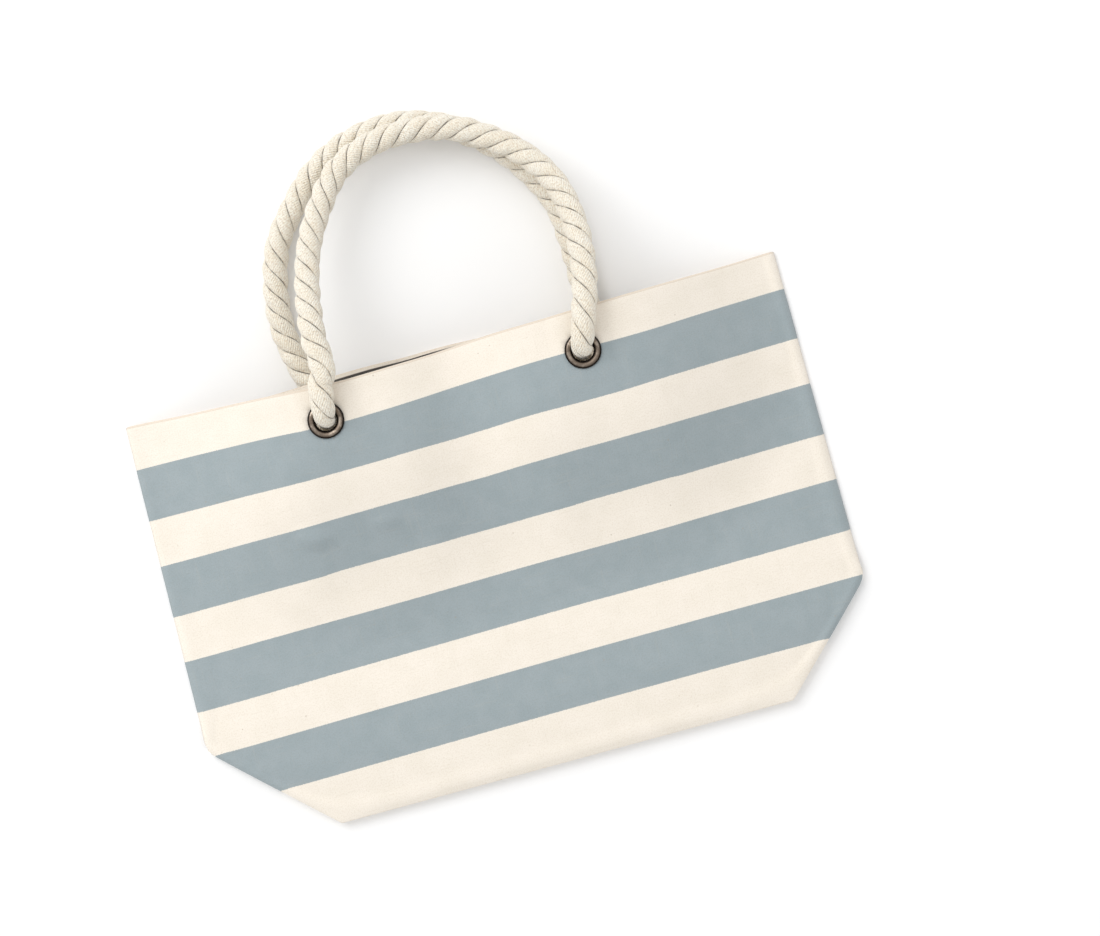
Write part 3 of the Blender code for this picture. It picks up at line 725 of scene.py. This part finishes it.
def front_height(x, down, share):
    """Middle of the front cloth."""
    along = np.where(down > 0.19, (down - 0.19) / 0.16, 0.6 * (0.19 - down) / 0.19)
    belly = 0.016 * np.sqrt(np.maximum(0, 1 - share**2)) * np.sqrt(np.maximum(0, 1 - along**2))
    raised = plateau(x, down, 0.126, 0.38, 0.145, 0.165)
    plain = rim(down) + belly
    height = mix(plain, FRONT_EYELET_Z, raised) - CLOTH / 2
    # At the side seam the cloth turns down to meet the back panel.
    from_seam = (1 - np.abs(share)) * half_width(down)
    seam = np.where(down < LOW_CORNER + 0.01, 1 - np.sqrt(np.clip(from_seam / 0.005, 0, 1)), 0)
    seam = seam * (1 - ease((down - LOW_CORNER + 0.025) / 0.025))
    return mix(height, 0.0019, seam)


def back_height(x, down, share):
    """Middle of the back cloth, which has no seam to turn down to, so its share plays no part."""
    return BACK_EYELET_Z * plateau(x, down, 0.142, 1.5, 0.0475, 0.047) + CLOTH / 2


def base_height_front(down):
    """Middle of the front half of the base, folded up under the front panel."""
    return rim(down) - 1.5 * CLOTH - GAP


def base_height_back(down):
    """Middle of the back half of the base, which lies flat under the front half."""
    return rim(np.full_like(down, LOW_CORNER)) - 2.5 * CLOTH - 2 * GAP


COLUMNS = 121
SHARES = np.sin(np.linspace(-1, 1, COLUMNS) * math.pi / 2 * 0.82) / math.sin(math.pi / 2 * 0.82)
PANEL_DEPTHS = np.r_[
    0,
    np.linspace(0.003, 0.080, 18),
    np.linspace(0.086, 0.26, 34),
    np.linspace(0.265, 0.343, 18),
    0.3475,
    HEIGHT,
]
HEM_DEPTHS = np.linspace(HEM_DEEP, 0.001, 14)
BASE_DEPTHS = np.r_[0.3475, np.linspace(0.343, 0.265, 18)]
# The hem lies this far inside its panel, and is this much narrower.
HEM_GAP = 0.0013
HEM_INSET = 0.985
# How far round a fold its rows of points lie, from its near side to its far side.
FOLD_TURNS = (0.25, 0.5, 0.75)
FIRST_PANEL_ROW = len(HEM_DEPTHS) + len(FOLD_TURNS)
FIRST_BASE_ROW = FIRST_PANEL_ROW + len(PANEL_DEPTHS) + len(FOLD_TURNS)
SLANT = 0.7071


def panel_points(v, height, lie):
    """x, y, z of one row of the cloth at depth v."""
    down = np.full(COLUMNS, v)
    for _ in range(3):
        left, right = blurred(down, LEFT_EDGE, 0.006), blurred(down, RIGHT_EDGE, 0.006)
        x = mix(left, right, (SHARES + 1) / 2)
        down = v + lie(x, np.full(COLUMNS, v))
    return np.stack([x, TOP_Y - down, height(x, np.clip(down, 0, HEIGHT), SHARES)], 1)


def clear_of(grid, path):
    """The grid lifted where it would touch the rope inside the bag."""
    reach, spare = ROPE_RADIUS + 0.0005, 0.0022
    inside = path[path[:, 1] < EYELET_Y - 0.012]
    for x, y, z in inside[::2]:
        near = np.hypot(grid[..., 0] - x, grid[..., 1] - y)
        height = z + np.sqrt(np.maximum(reach**2 - near**2, 0)) + spare
        lift = np.where(near < reach, np.maximum(height - grid[..., 2], 0), 0)
        grid[..., 2] += lift
    return grid


# The front settles no further than this, as the knots lie under it.
MOST_SETTLING = 0.0022
SETTLING_FRAMES = 20
SETTLING_GRAVITY = 0.2


def held_points(grid):
    """Where the cloth is held as it settles: by the eyelets, the side seams and the base's fold."""
    from_eyelets = [np.hypot(grid[..., 0] - x, grid[..., 1] - EYELET_Y) for x in EYELET_XS]
    by_seams = np.abs(SHARES)[None] > 0.985
    by_fold = PANEL_DEPTHS[:, None] > 0.340
    return (np.min(from_eyelets, axis=0) < 0.021) | by_seams | by_fold


def settled(grid, held):
    """The panel's grid after a short cloth simulation, with these points held."""
    rows, columns = grid.shape[:2]
    i, k = np.meshgrid(np.arange(rows - 1), np.arange(columns - 1), indexing="ij")
    first = (i * columns + k).ravel()
    faces = np.stack([first, first + columns, first + columns + 1, first + 1], 1)
    piece = mesh_object("settling", grid.reshape(-1, 3), faces, [])
    group = piece.vertex_groups.new(name="held")
    group.add([int(n) for n in np.flatnonzero(held.ravel())], 1.0, "REPLACE")
    use = piece.modifiers.new("cloth", "CLOTH").settings
    use.vertex_group_mass = "held"
    use.quality = 8
    use.mass = 0.02
    use.tension_stiffness = use.compression_stiffness = 60
    use.shear_stiffness = 30
    use.bending_stiffness = 4
    use.effector_weights.gravity = SETTLING_GRAVITY
    scene = bpy.context.scene
    for number in range(1, SETTLING_FRAMES + 1):
        scene.frame_set(number)
    bpy.context.view_layer.update()
    result = piece.evaluated_get(bpy.context.evaluated_depsgraph_get()).to_mesh()
    found = np.empty(len(result.vertices) * 3, np.float32)
    result.vertices.foreach_get("co", found)
    moved = found.reshape(grid.shape).astype(float) - grid
    scene.frame_set(1)
    bpy.data.objects.remove(piece, do_unlink=True)
    far = np.linalg.norm(moved, axis=2, keepdims=True)
    return grid + moved * np.minimum(1, MOST_SETTLING / np.maximum(far, 1e-9))


def row_at(grid, v):
    """The panel's row of points at depth v, between the rows of its grid."""
    columns = [[np.interp(v, PANEL_DEPTHS, grid[:, k, axis]) for axis in range(3)] for k in range(COLUMNS)]
    return np.array(columns)


def turned_in(row, out, turn):
    """A row of the cloth carried round the fold at the mouth, turn 0..1 of the way to the inside."""
    row = row.copy()
    angle = math.pi * turn
    row[:, 0] *= mix(1, HEM_INSET, turn)
    row[:, 1] += math.sin(angle) * HEM_GAP / 2
    row[:, 2] -= out * (1 - math.cos(angle)) * HEM_GAP / 2
    return row


def cloth_rows(grid, out, base_height):
    """Rows of points from the hem's edge, over the mouth, down the panel and back up the base half.

    The second array is each point's distance down the flat cloth, its place in the pattern.
    """
    rows = [turned_in(row_at(grid, v), out, 1) for v in HEM_DEPTHS]
    depths = [-v for v in HEM_DEPTHS]
    for turn in FOLD_TURNS[::-1]:
        rows.append(turned_in(grid[0], out, turn))
        depths.append(-0.0008 * turn)
    rows += list(grid)
    depths += list(PANEL_DEPTHS)
    bottom = grid[-1]
    base_z = base_height(np.full(COLUMNS, HEIGHT))
    outwards = np.tile((0.0, -1.0), (COLUMNS, 1))
    outwards[0], outwards[-1] = (-0.5, -0.866), (0.5, -0.866)
    bulge = np.abs(bottom[:, 2] - base_z) / 2
    for turn in (*FOLD_TURNS, 1):
        angle = math.pi * turn
        row = bottom.copy()
        row[:, :2] += outwards * (math.sin(angle) * bulge)[:, None]
        row[:, 2] = mix(bottom[:, 2], base_z, (1 - math.cos(angle)) / 2)
        rows.append(row)
        depths.append(HEIGHT + 0.001 * turn)
    for v in BASE_DEPTHS:
        row = grid[int(np.argmin(np.abs(PANEL_DEPTHS - v)))].copy()
        row[:, 2] = base_height(np.full(COLUMNS, v))
        rows.append(row)
        depths.append(2 * HEIGHT - v)
    return np.stack(rows), np.repeat(np.array(depths)[:, None], COLUMNS, axis=1)


def corner_folds(points):
    """The folds along the slanting corners, which join the panel's edge to the base's.

    They come as points to add, their places in the pattern, and faces.
    """
    places, pattern, faces = [], [], []
    last = len(PANEL_DEPTHS) - 1
    for side, column in ((-1, 0), (1, COLUMNS - 1)):
        strips = []
        for n in np.flatnonzero(PANEL_DEPTHS >= LOW_CORNER - 1e-6):
            panel_at = (FIRST_PANEL_ROW + n) * COLUMNS + column
            base_at = (FIRST_BASE_ROW + last - n) * COLUMNS + column
            if n == last:
                # Here the fold along the base already has its own points.
                between = [(FIRST_BASE_ROW + k) * COLUMNS + column for k in (-3, -2, -1)]
            else:
                between = [len(points) + len(places) + k for k in range(len(FOLD_TURNS))]
                one, two = points[panel_at], points[base_at]
                for turn in FOLD_TURNS:
                    angle = math.pi * turn
                    bulge = abs(one[2] - two[2]) / 2 * math.sin(angle) * SLANT
                    height = mix(one[2], two[2], (1 - math.cos(angle)) / 2)
                    places.append((one[0] + side * bulge, one[1] - bulge, height))
                    pattern.append((one[0], PANEL_DEPTHS[n]))
            strips.append([panel_at, *between, base_at])
        for a, b in zip(strips, strips[1:]):
            for m in range(len(a) - 1):
                quad = [a[m], b[m], b[m + 1], a[m + 1]]
                faces.append(quad if side > 0 else quad[::-1])
    return places, pattern, faces


EYELET_HOLE = 0.0102


def cut_for_eyelets(points, pattern, faces, near_mouth):
    """The faces over the eyelet holes go, and the edge left is drawn in to a circle under the flange."""
    for x in EYELET_XS:
        away = np.hypot(points[:, 0] - x, points[:, 1] - EYELET_Y)
        inside = (away < EYELET_HOLE) & near_mouth
        faces = faces[~inside[faces].any(axis=1)]
        edges = np.sort(np.concatenate([faces[:, [k, (k + 1) % 4]] for k in range(4)]), axis=1)
        found, uses = np.unique(edges, axis=0, return_counts=True)
        border = np.unique(found[uses == 1])
        border = border[(away[border] < 0.020) & near_mouth[border]]
        for p in border:
            old = points[p].copy()
            pull = EYELET_HOLE / away[p]
            points[p, 0] = x + (points[p, 0] - x) * pull
            points[p, 1] = EYELET_Y + (points[p, 1] - EYELET_Y) * pull
            pattern[p] += (points[p, 0] - old[0], (old[1] - points[p, 1]) * np.sign(pattern[p, 1]))
    used = np.zeros(len(points), bool)
    used[faces.ravel()] = True
    renumber = np.cumsum(used) - 1
    return points[used], pattern[used], renumber[faces]


def cloth_object(name, out, height, lie, base_height, finishes):
    """One panel, its hem turned in at the mouth and its half of the base folded up under it."""
    grid = np.stack([panel_points(v, height, lie) for v in PANEL_DEPTHS])
    if out > 0:
        grid = settled(grid, held_points(grid))
        for path in (front_path, back_path):
            grid = clear_of(grid, path)
    table, depths = cloth_rows(grid, out, base_height)
    points = table.reshape(-1, 3)
    pattern = np.stack([table[..., 0], depths], 2).reshape(-1, 2)
    i, k = np.meshgrid(np.arange(len(table) - 1), np.arange(COLUMNS - 1), indexing="ij")
    first = (i * COLUMNS + k).ravel()
    faces = np.stack([first, first + COLUMNS, first + COLUMNS + 1, first + 1], 1)
    places, fold_pattern, folds = corner_folds(points)
    near_mouth = np.r_[(depths < 0.10).ravel(), np.zeros(len(places), bool)]
    points = np.vstack([points, places])
    pattern = np.vstack([pattern, fold_pattern])
    faces = np.vstack([faces, folds])
    points, pattern, faces = cut_for_eyelets(points, pattern, faces, near_mouth)
    if out < 0:
        faces = faces[:, ::-1]
    piece = mesh_object(name, points, faces, finishes, pattern[faces.ravel()])
    thick = piece.modifiers.new("thickness", "SOLIDIFY")
    thick.thickness = 0.0010
    thick.offset = 0
    thick.material_offset = 1
    thick.use_even_offset = False
    return made_plain(piece), grid


outer_finish = canvas("striped_canvas_cloth", True)
# The back's cloth carries the painted shadow of the mouth's slit.
back_finish = canvas("striped_canvas_slit_shadow", True, with_slit_shadow=True)
inner_finish = canvas("natural_canvas_reverse", False)
front_cloth, front_rows = cloth_object(
    "front_cloth", 1, front_height, front_lie, base_height_front, [outer_finish, inner_finish]
)
back_cloth, back_rows = cloth_object(
    "back_cloth", -1, back_height, back_lie, base_height_back, [back_finish, inner_finish]
)


# ---------------------------------------------------------------- metal
# The radius where the flange stands highest; the metal is painted lighter there, a painted highlight.
CREST = 0.0116


def turned(name, profile, x, z, out, finish, steps=96):
    """A closed profile of (radius, height) points spun round the eyelet's axis."""
    count = len(profile)
    points, faces = [], []
    for step in range(steps):
        angle = 2 * math.pi * step / steps
        for radius, height in profile:
            y = EYELET_Y + radius * math.sin(angle)
            points.append((x + radius * math.cos(angle), y, z + out * height))
        after = (step + 1) % steps
        for k in range(count):
            m = (k + 1) % count
            quad = (step * count + k, after * count + k, after * count + m, step * count + m)
            faces.append(quad if out > 0 else quad[::-1])
    ring = mesh_object(name, points, faces, [finish])
    # How near each point is to the crest, where the metal is painted lighter as a highlight.
    crest_highlight = [math.exp(-(((radius - CREST) / 0.0015) ** 2)) for radius, height in profile] * steps
    ring.data.attributes.new("crest_highlight", "FLOAT", "POINT").data.foreach_set("value", np.array(crest_highlight, np.float32))
    return ring


def rounded(corners, reach, steps=4):
    """A closed outline with each corner rounded over this reach."""
    made = []
    count = len(corners)
    for i in range(count):
        before, here, after = (np.array(corners[(i + o) % count], float) for o in (-1, 0, 1))
        one = here + (before - here) * min(0.5, reach / np.linalg.norm(before - here))
        two = here + (after - here) * min(0.5, reach / np.linalg.norm(after - here))
        for k in range(steps + 1):
            t = k / steps
            made.append(tuple((1 - t) ** 2 * one + 2 * t * (1 - t) * here + t**2 * two))
    return made


EYELET = rounded(
    [
        (0.0084, -0.0042),
        (0.0090, -0.0042),
        (0.0090, 0.0002),
        (0.0145, 0.0002),
        (0.0144, 0.0014),
        (0.0123, 0.0028),
        (0.0095, 0.0022),
        (0.0084, 0.0010),
    ],
    0.0007,
)
WASHER = rounded([(0.0093, -0.0030), (0.0093, -0.0038), (0.0136, -0.0038), (0.0140, -0.0030)], 0.0003)
metal = metal_material()
for face, z, out in (("front", FRONT_EYELET_Z, 1), ("back", BACK_EYELET_Z, -1)):
    for hand, x in zip(("left", "right"), EYELET_XS):
        ring = turned(f"{face}_{hand}_eyelet_ring", EYELET, x, z, out, metal)
        plate = turned(f"{face}_{hand}_eyelet_washer", WASHER, x, z, out, metal)
        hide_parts(f"{face}_{hand}_eyelet")
        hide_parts(f"{face}_{hand}_washer")
        for piece in (ring, plate):
            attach(piece, "bag")


# ---------------------------------------------------------------- whippings
def wound_thread(name, x, end_y, z, finish):
    """Thread wound round the rope's tail, turn against turn."""
    turns, thick, core = 12, 0.00055, ROPE_RADIUS + 0.0002
    t = np.linspace(0, 1, turns * 28 + 1)
    angle = 2 * math.pi * turns * t
    line = np.stack([x + core * np.cos(angle), end_y + 0.0135 - 0.0125 * t, z + core * np.sin(angle)], 1)
    tangents = np.gradient(line, axis=0)
    tangents /= np.linalg.norm(tangents, axis=1)[:, None]
    outwards = line - np.stack([np.full(len(t), x), line[:, 1], np.full(len(t), z)], 1)
    outwards /= np.linalg.norm(outwards, axis=1)[:, None]
    across = np.cross(tangents, outwards)
    sides = 8
    around = 2 * math.pi * np.arange(sides) / sides
    grid = line[:, None] + thick * (
        np.cos(around)[None, :, None] * outwards[:, None] + np.sin(around)[None, :, None] * across[:, None]
    )
    faces = []
    for i in range(len(t) - 1):
        for k in range(sides):
            m = (k + 1) % sides
            faces.append((i * sides + k, i * sides + m, (i + 1) * sides + m, (i + 1) * sides + k))
    faces.append(tuple(range(sides))[::-1])
    last = (len(t) - 1) * sides
    faces.append(tuple(range(last, last + sides)))
    return mesh_object(name, grid.reshape(-1, 3), faces, [finish])


thread = thread_material("waxed_whipping_thread", "#d8c8a4")
whippings = {"front": [], "back": []}
for face, tail in (("front", FRONT_TAIL), ("back", BACK_TAIL)):
    tail_x, _, tail_z = tail[-1]
    for hand, side in (("left", -1), ("right", 1)):
        low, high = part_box(f"{face}_{hand}_whipping")
        x = side * tail_x + SLIP
        piece = wound_thread(f"{face}_{hand}_whipping_thread", x, low.y, tail_z, thread)
        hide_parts(f"{face}_{hand}_whipping")
        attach(piece, "bag")
        whippings[face].append(piece)


# ---------------------------------------------------------------- binding tapes
def swept(name, bodies, finish):
    """Closed bars, each a flat outline of (across, up) carried along its path of points."""
    points, faces = [], []
    for path, across, outline in bodies:
        first, n = len(points), len(outline)
        for where in path:
            for side, up in outline:
                points.append(np.array(where) + side * np.array(across) + (0, 0, up))
        for i in range(len(path) - 1):
            for k in range(n):
                here, after = first + i * n + k, first + i * n + (k + 1) % n
                faces.append((here, after, after + n, here + n))
        faces.append(tuple(range(first, first + n))[::-1])
        faces.append(tuple(range(len(points) - n, len(points))))
    piece = mesh_object(name, points, faces, [finish])
    bm = bmesh.new()
    bm.from_mesh(piece.data)
    bmesh.ops.recalc_face_normals(bm, faces=bm.faces)
    bm.to_mesh(piece.data)
    bm.free()
    return piece


def tape_section(wide, thick):
    """The tape's outline, its edges a little rounded."""
    half, rise = wide / 2, thick / 2
    return rounded([(-half, -rise), (half, -rise), (half, rise), (-half, rise)], 0.00035)


def level(down):
    """The height of the folded base half's upper side, this far below the mouth."""
    return float(rim(np.array(down))) - CLOTH - GAP


tape = tape_material()
SEAM_FOOT = LOW_CORNER - GAP
BAR = 0.006
# How far below the mouth the corner tape bends and ends.
WRAP_MIDDLE, WRAP_END = 0.293, 0.322
tapes = []
for hand, side, edge in (("left", -1, LEFT_EDGE), ("right", 1, RIGHT_EDGE)):
    downs = np.linspace(0.004, SEAM_FOOT, 40)
    inwards = side * 0.0055
    up = CLOTH + GAP + 0.00045
    seam = [(float(blurred(d, edge, 0.006)) - inwards, TOP_Y - d, up) for d in downs]
    bar_x = np.linspace(seam[-1][0], side * (BASE_HALF + 0.0005), 12)
    bar = [(x, TOP_Y - SEAM_FOOT + BAR / 2, up - 0.0001) for x in bar_x]
    bodies = [(seam, (1, 0, 0), tape_section(0.008, 0.0009)), (bar, (0, 1, 0), tape_section(BAR, 0.0007))]
    tapes.append((swept(f"{hand}_side_tape", bodies, tape), f"{hand}_side_binding"))
    top, under, thick = level(LOW_CORNER) + GAP, CLOTH + GAP, 0.0006
    outer = SEAM_FOOT - 0.0035
    middle, end = level(WRAP_MIDDLE) + GAP, level(WRAP_END) + GAP
    wrap = [(WRAP_END, under), (outer, under), (outer, top + thick), (LOW_CORNER, top + thick)]
    wrap += [(WRAP_MIDDLE, middle + thick), (WRAP_END, end + thick), (WRAP_END, end), (WRAP_MIDDLE, middle)]
    wrap += [(LOW_CORNER, top), (SEAM_FOOT, top), (SEAM_FOOT, under + thick), (WRAP_END, under + thick)]
    outline = rounded([(TOP_Y - down, z) for down, z in wrap], 0.00025)
    along = [(side * (BASE_HALF - 0.002 - k * 0.001), 0, 0) for k in range(11)]
    corner = swept(f"{hand}_corner_tape", [(along, (0, 1, 0), outline)], tape)
    tapes.append((corner, f"{hand}_corner_binding"))
foot_y, high = TOP_Y - SEAM_FOOT, level(LOW_CORNER)
low_z = high - 2 * CLOTH - GAP
lap = [(foot_y, low_z), (foot_y, high), (foot_y + BAR, high - 0.0006), (foot_y + BAR, low_z + 0.0006)]
along = [(x, 0, 0) for x in np.linspace(-BASE_HALF + 0.0125, BASE_HALF - 0.0125, 60)]
base_seam = swept("base_seam_tape", [(along, (0, 1, 0), rounded(lap, 0.0009))], tape)
tapes.append((base_seam, "base_seam_binding"))
for piece, node in tapes:
    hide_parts(node)
    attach(piece, "bag")


# ---------------------------------------------------------------- stitches
def stitch_tree(finish):
    """Geometry nodes: rounded stitches, a pitch apart, lying along the line that is given."""
    tree = bpy.data.node_groups.new("stitch row", "GeometryNodeTree")
    for name, kind, way in (
        ("Line", "NodeSocketGeometry", "INPUT"),
        ("Pitch", "NodeSocketFloat", "INPUT"),
        ("Stitch length", "NodeSocketFloat", "INPUT"),
        ("Thread", "NodeSocketFloat", "INPUT"),
        ("Seed", "NodeSocketInt", "INPUT"),
        ("Stitches", "NodeSocketGeometry", "OUTPUT"),
    ):
        tree.interface.new_socket(name=name, socket_type=kind, in_out=way)
    given = add(tree, "NodeGroupInput").outputs
    curve = add(tree, "GeometryNodeMeshToCurve", {"Mesh": given["Line"]})
    spaced = {"Curve": curve.outputs[0], "Length": given["Pitch"]}
    marks = add(tree, "GeometryNodeResampleCurve", spaced, mode="LENGTH")
    along = add(tree, "GeometryNodeInputTangent")
    turned_to = add(tree, "FunctionNodeAlignRotationToVector", {"Vector": along.outputs[0]}, axis="X")
    bead = add(tree, "GeometryNodeMeshUVSphere", {"Segments": 10, "Rings": 7, "Radius": 0.5})
    thick = given["Thread"]
    across = add(tree, "ShaderNodeCombineXYZ", {"X": given["Stitch length"], "Y": thick, "Z": thick})
    vary = add(tree, "FunctionNodeRandomValue", {"Seed": given["Seed"]}, data_type="FLOAT")
    vary.inputs[2].default_value, vary.inputs[3].default_value = 0.92, 1.08
    size = add(tree, "ShaderNodeVectorMath", operation="SCALE")
    tree.links.new(across.outputs[0], size.inputs[0])
    tree.links.new(vary.outputs[1], size.inputs["Scale"])
    each = {"Points": marks.outputs[0], "Instance": bead.outputs[0], "Scale": size.outputs[0]}
    each["Rotation"] = turned_to.outputs[0]
    placed = add(tree, "GeometryNodeInstanceOnPoints", each)
    real = add(tree, "GeometryNodeRealizeInstances", {"Geometry": placed.outputs[0]})
    dressed = add(tree, "GeometryNodeSetMaterial", {"Geometry": real.outputs[0], "Material": finish})
    smooth = add(tree, "GeometryNodeSetShadeSmooth", {"Geometry": dressed.outputs[0]})
    out = add(tree, "NodeGroupOutput")
    tree.links.new(smooth.outputs[0], out.inputs["Stitches"])
    return tree


# A stitch every PITCH along the hem, STITCH long, of thread THREAD thick.
PITCH, STITCH, THREAD = 0.0038, 0.0030, 0.0007


def stitched(name, line, seed, tree):
    """One plain mesh of stitches along this line of points."""
    data = bpy.data.meshes.new(name)
    points = [tuple(map(float, p)) for p in line]
    data.from_pydata(points, [(n, n + 1) for n in range(len(points) - 1)], [])
    piece = bpy.data.objects.new(name, data)
    bpy.context.scene.collection.objects.link(piece)
    rows = piece.modifiers.new("stitches", "NODES")
    rows.node_group = tree
    wanted = {"Pitch": PITCH, "Stitch length": STITCH, "Thread": THREAD, "Seed": seed}
    for socket in tree.interface.items_tree:
        if socket.name in wanted:
            rows[socket.identifier] = wanted[socket.name]
    piece = made_plain(piece)
    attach(piece, "bag")
    return piece


sewing = thread_material("cotton_sewing_thread", "#efe5d0")
rows_tree = stitch_tree(sewing)
for face, grid, out in (("front", front_rows, 1), ("back", back_rows, -1)):
    # 4 mm from the hem's edge, lying on its inner side and ending short of the side seams.
    row = turned_in(row_at(grid, HEM_DEEP - 0.004)[4:-4], out, 1)
    row[:, 2] -= out * 0.0006
    stitched(f"{face}_hem_stitches", row, 7, rows_tree)


# ---------------------------------------------------------------- what rides on what
for cloth, face in ((front_cloth, "front"), (back_cloth, "back")):
    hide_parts(f"{face}_panel", f"{face}_hem", f"{face}_base_half")
    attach(cloth, "bag")
for rope, path, face, z in (
    (front_rope, front_path, "front", 0.0835),
    (back_rope, back_path, "back", 0.0105),
):
    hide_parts(f"{face}_rope", f"{face}_left_knot", f"{face}_right_knot")
    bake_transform(rope)

# ---------------------------------------------------------------- floor and light
FLOOR = 6
floor_data = bpy.data.meshes.new("floor")
corners = [(x * FLOOR, y * FLOOR, -GAP) for x, y in ((-1, -1), (1, -1), (1, 1), (-1, 1))]
floor_data.from_pydata(corners, [], [(0, 1, 2, 3)])
floor = bpy.data.objects.new("floor", floor_data)
bpy.context.scene.collection.objects.link(floor)
paper, _, paper_shader = new_material("white_paper_floor")
paper_shader.inputs["Base Color"].default_value = linear("#fafafa")
paper_shader.inputs["Roughness"].default_value = 0.95
paper_shader.inputs["Specular IOR Level"].default_value = 0.0
floor_data.materials.append(paper)
floor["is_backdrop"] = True

world = bpy.data.worlds.new("studio")
bpy.context.scene.world = world
world.use_nodes = True
world.node_tree.nodes["Background"].inputs["Color"].default_value = (1, 1, 1, 1)
world.node_tree.nodes["Background"].inputs["Strength"].default_value = 0.84


def area_light(name, where, size, power):
    data = bpy.data.lights.new(name, "AREA")
    data.size = size
    data.energy = power
    lamp = bpy.data.objects.new(name, data)
    lamp.location = where
    aim = Vector((0, 0.05, 0)) - Vector(where)
    lamp.rotation_euler = aim.to_track_quat("-Z", "Y").to_euler()
    bpy.context.scene.collection.objects.link(lamp)


area_light("key", (-1.80, 2.45, 3.10), 3.0, 86)
bpy.context.scene.view_settings.view_transform = "Standard"

low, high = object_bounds()
